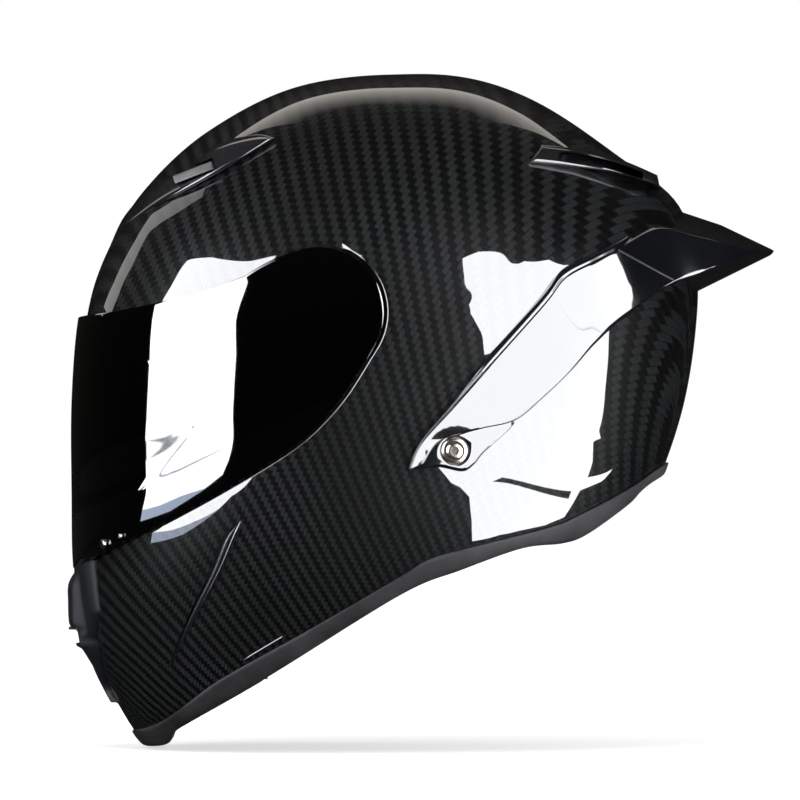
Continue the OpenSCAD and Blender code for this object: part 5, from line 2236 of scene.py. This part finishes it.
@dataclass
class Studio:
    """The camera, the pale floor, the soft light and the panels that the lacquer mirrors."""

    eye: tuple[float, float, float] = (0.0, -5.0, 0.0188)
    lens: float = 478.7
    far: float = 8.0
    tent_radius: float = 9.5
    floor_z: float = -0.1445
    table_z: float = -0.1439
    sheet_z: float = -143.7
    floor_glow: float = 0.62
    ambient: float = 0.55
    cards: Sequence[Card] = (
        Card("card_front", (
            (-2, -88, -36), (0, -86, -35), (3, -86, -35), (7, -87, -36), (12, -88, -37), (19, -89, -37),
            (24, -87, -37), (28, -86, -40), (31, -84, -36), (33, -75, -32), (34.3, -67, -31),
        ), 11.0, (0.96, 0.97, 1.0)),
        Card("card_back", (
            (-2, 16, 80), (0, 15, 82), (3, 14, 90), (5, 12.5, 92), (6, 12, 96), (8, 11, 92), (10, 10, 70),
            (15, 9, 66), (20, 10.5, 64), (24, 12.5, 62), (30, 15, 48), (34, 20, 44), (38, 27, 41),
            (39.5, 29, 40),
        ), 11.5, (0.97, 0.98, 1.0)),
        Card("card_behind", ((38, 147, 211), (62, 147, 211)), 1.5, (1.0, 0.95, 0.88), (4.93, 6.7)),
        Card("card_brow", (
            (8, -142, -132), (13, -139, -129), (17, -139, -129), (20, -138, -128), (25, -140, -130),
            (37, -131, -121), (44, -125, -115),
        ), 1.0, (1.0, 0.97, 0.93)),
    )
    sheets: Sequence[Sheet] = (
        Sheet("sheet_back", (
            (111, -202), (126, -254), (144, -336), (140, -400), (129, -447), (120, -620), (150, -700),
            (280, -1500), (1500, -5200), (5200, -6500), (6000, -6000), (7500, -1650), (2797, -617),
            (1390, -301), (822, -179), (556, -112), (472, -100), (421, -79), (349, -76), (425, 50), (362, -4),
            (303, -82), (274, -83), (230, -86), (196, -116), (169, -154), (147, -178),
        ), 11.5),
        Sheet("dark_strip", ((188, -340), (205, -330), (290, -110), (270, -105)), 0.01, lift=0.2),
        Sheet("sheet_front", (
            (-7953, -542), (-1955, -112), (-1511, -453), (-1303, -741), (-989, -932), (-1046, -1318),
            (-1629, -2206), (-4650, -6510),
        ), 11.0),
        Sheet("sheet_dim", (
            (-1955, -112), (-1265, -83), (-996, -452), (-970, -920), (-1295, -735), (-1505, -448),
        ), 4.0, (0.7, 0.8, 1.0), 0.1),
    )

    def sheet(self, given: Sheet) -> None:
        """Lays one sheet on the dark table.

        Args:
            given: The sheet.
        """
        bpy.ops.object.select_all(action="DESELECT")
        bpy.ops.mesh.primitive_circle_add(vertices=len(given.corners), fill_type="NGON")
        sheet = Bench.fresh(given.name)
        flat = np.array([(x, y, given.lift + self.sheet_z) for x, y in given.corners])
        sheet.data.vertices.foreach_set("co", (flat * MM).astype(np.float32).ravel())
        sheet.data.update()
        sheet.data.materials.append(glowing(given.name, given.tint, given.light))
        self.only_mirrored(sheet)

    def card(self, card: Card) -> None:
        """Hangs one panel.

        Args:
            card: The panel.
        """
        known = np.asarray(card.rows, float)
        height = np.linspace(known[0, 0], known[-1, 0], 40)
        start, stop = (np.interp(height, known[:, 0], known[:, k]) for k in (1, 2))
        turn = np.radians(start[:, None] + (stop - start)[:, None] * np.linspace(0, 1, 24)[None])
        lift = np.radians(height)[:, None]
        way = np.stack(
            [np.sin(turn) * np.cos(lift), -np.cos(turn) * np.cos(lift), np.sin(lift) + 0 * turn], axis=-1,
        )
        panel = Bench.grid(card.name, way * self.far / MM)
        light = (*card.fade, card.light, 0.03) if card.fade else card.light
        panel.data.materials.append(glowing(card.name, card.tint, light))
        self.only_mirrored(panel)

    def only_mirrored(self, obj: bpy.types.Object) -> None:
        """Makes a panel one that only the lacquer and metal see.

        Args:
            obj: The panel.
        """
        for reach in ("camera", "diffuse", "shadow", "transmission", "volume_scatter"):
            setattr(obj, f"visible_{reach}", False)

    def tent(self) -> None:
        """Hangs the dark cloth all round, which only the lacquer sees."""
        bpy.ops.object.select_all(action="DESELECT")
        bpy.ops.mesh.primitive_uv_sphere_add(segments=48, ring_count=24, radius=self.tent_radius)
        tent = Bench.fresh("dark_tent")
        tent.data.materials.append(glowing("dark_tent", (1.0, 0.93, 0.84), (-2.0, 9.0, 0.004, 0.02)))
        self.only_mirrored(tent)

    def dark_table(self) -> None:
        """Lays a black cloth just over the floor, which only the lacquer sees."""
        bpy.ops.object.select_all(action="DESELECT")
        bpy.ops.mesh.primitive_plane_add(size=20, location=(0, 0, self.table_z))
        table = Bench.fresh("dark_table")
        bpy.ops.object.transform_apply(location=True, rotation=True, scale=True)
        table.data.materials.append(glowing("dark_table", (1, 1, 1), 0.01))
        self.only_mirrored(table)

    def world(self) -> None:
        """Sets a white world for the camera and metal, and a plain grey one for the light."""
        world = bpy.data.worlds.new("studio_world")
        nodes = emptied(world)
        strength = nodes.span(looked_at(nodes), 0.0, 1.0, self.ambient, 1.0)
        back = nodes.add("Background", {0: (1, 1, 1, 1), 1: strength})
        nodes.add("OutputWorld", {"Surface": back.outputs[0]})
        bpy.context.scene.world = world

    def floor(self) -> None:
        """Lays the pale floor, which keeps the helmet's shadow."""
        bpy.ops.object.select_all(action="DESELECT")
        bpy.ops.mesh.primitive_plane_add(size=60, location=(0, 0, self.floor_z))
        floor = Bench.fresh("floor")
        bpy.ops.object.transform_apply(location=True, rotation=True, scale=True)
        material = bpy.data.materials.new("pale_floor")
        nodes = emptied(material)
        matt = nodes.add("BsdfDiffuse", {0: (0.8, 0.8, 0.8, 1)})
        strength = nodes.maths("MULTIPLY", looked_at(nodes), self.floor_glow)
        glow = nodes.add("Emission", {0: (1, 1, 1, 1), 1: strength})
        both = nodes.add("AddShader", {0: matt.outputs[0], 1: glow.outputs[0]})
        nodes.add("OutputMaterial", {"Surface": both.outputs[0]})
        floor.data.materials.append(material)

    def lamps(self) -> None:
        """Hangs two soft lamps."""
        for name, place, aim, size, power in (
            ("soft_top", (-0.4, -1.2, 2.4), (0, 0, 0), 1.6, 28.0),
            ("soft_side", (-1.8, -2.2, 0.9), (0, 0, 0), 1.2, 14.0),
        ):
            bpy.ops.object.light_add(type="AREA", location=place)
            lamp = bpy.context.object
            lamp.name = name
            lamp.data.shape = "RECTANGLE"
            lamp.data.size = lamp.data.size_y = size
            lamp.data.energy = power
            away = np.asarray(place) - np.asarray(aim)
            lamp.rotation_euler = (
                math.atan2(math.hypot(away[0], away[1]), away[2]), 0, math.atan2(away[0], -away[1]),
            )
            lamp.visible_camera = False
            lamp.visible_glossy = False

    def build(self) -> None:
        """Sets up the camera and everything round the helmet."""
        scene = bpy.context.scene
        bpy.ops.object.camera_add(location=self.eye, rotation=(math.pi / 2, 0, 0))
        camera = bpy.context.object
        camera.name = "camera"
        camera.data.sensor_width = 36
        camera.data.lens = self.lens
        camera.data.clip_end = 100
        scene.camera = camera
        scene.view_settings.view_transform = "Standard"
        self.world()
        self.floor()
        self.lamps()
        self.tent()
        self.dark_table()
        for card in self.cards:
            self.card(card)
        for sheet in self.sheets:
            self.sheet(sheet)


def main() -> None:
    """Builds the helmet's pieces and the studio."""
    logging.basicConfig(level=logging.INFO, format="%(name)s %(message)s")
    for node, slot in KEPT.items():
        finished(frame["nodes"][node], slot)
    shell = Shell()
    shell.build()
    visor = Visor(shell.visor_outline)
    visor.build()
    visor.dress()
    edges = Edges()
    edges.trim()
    edges.gasket()
    chin = ChinVent()
    chin.build()
    chin.shutter()
    TopVents().build()
    spoiler = Spoiler()
    spoiler.build()
    spoiler.screws()
    Linings().build()
    Straps().build()
    Curtain().build()
    Studio().build()


if __name__ == "__main__":
    main()
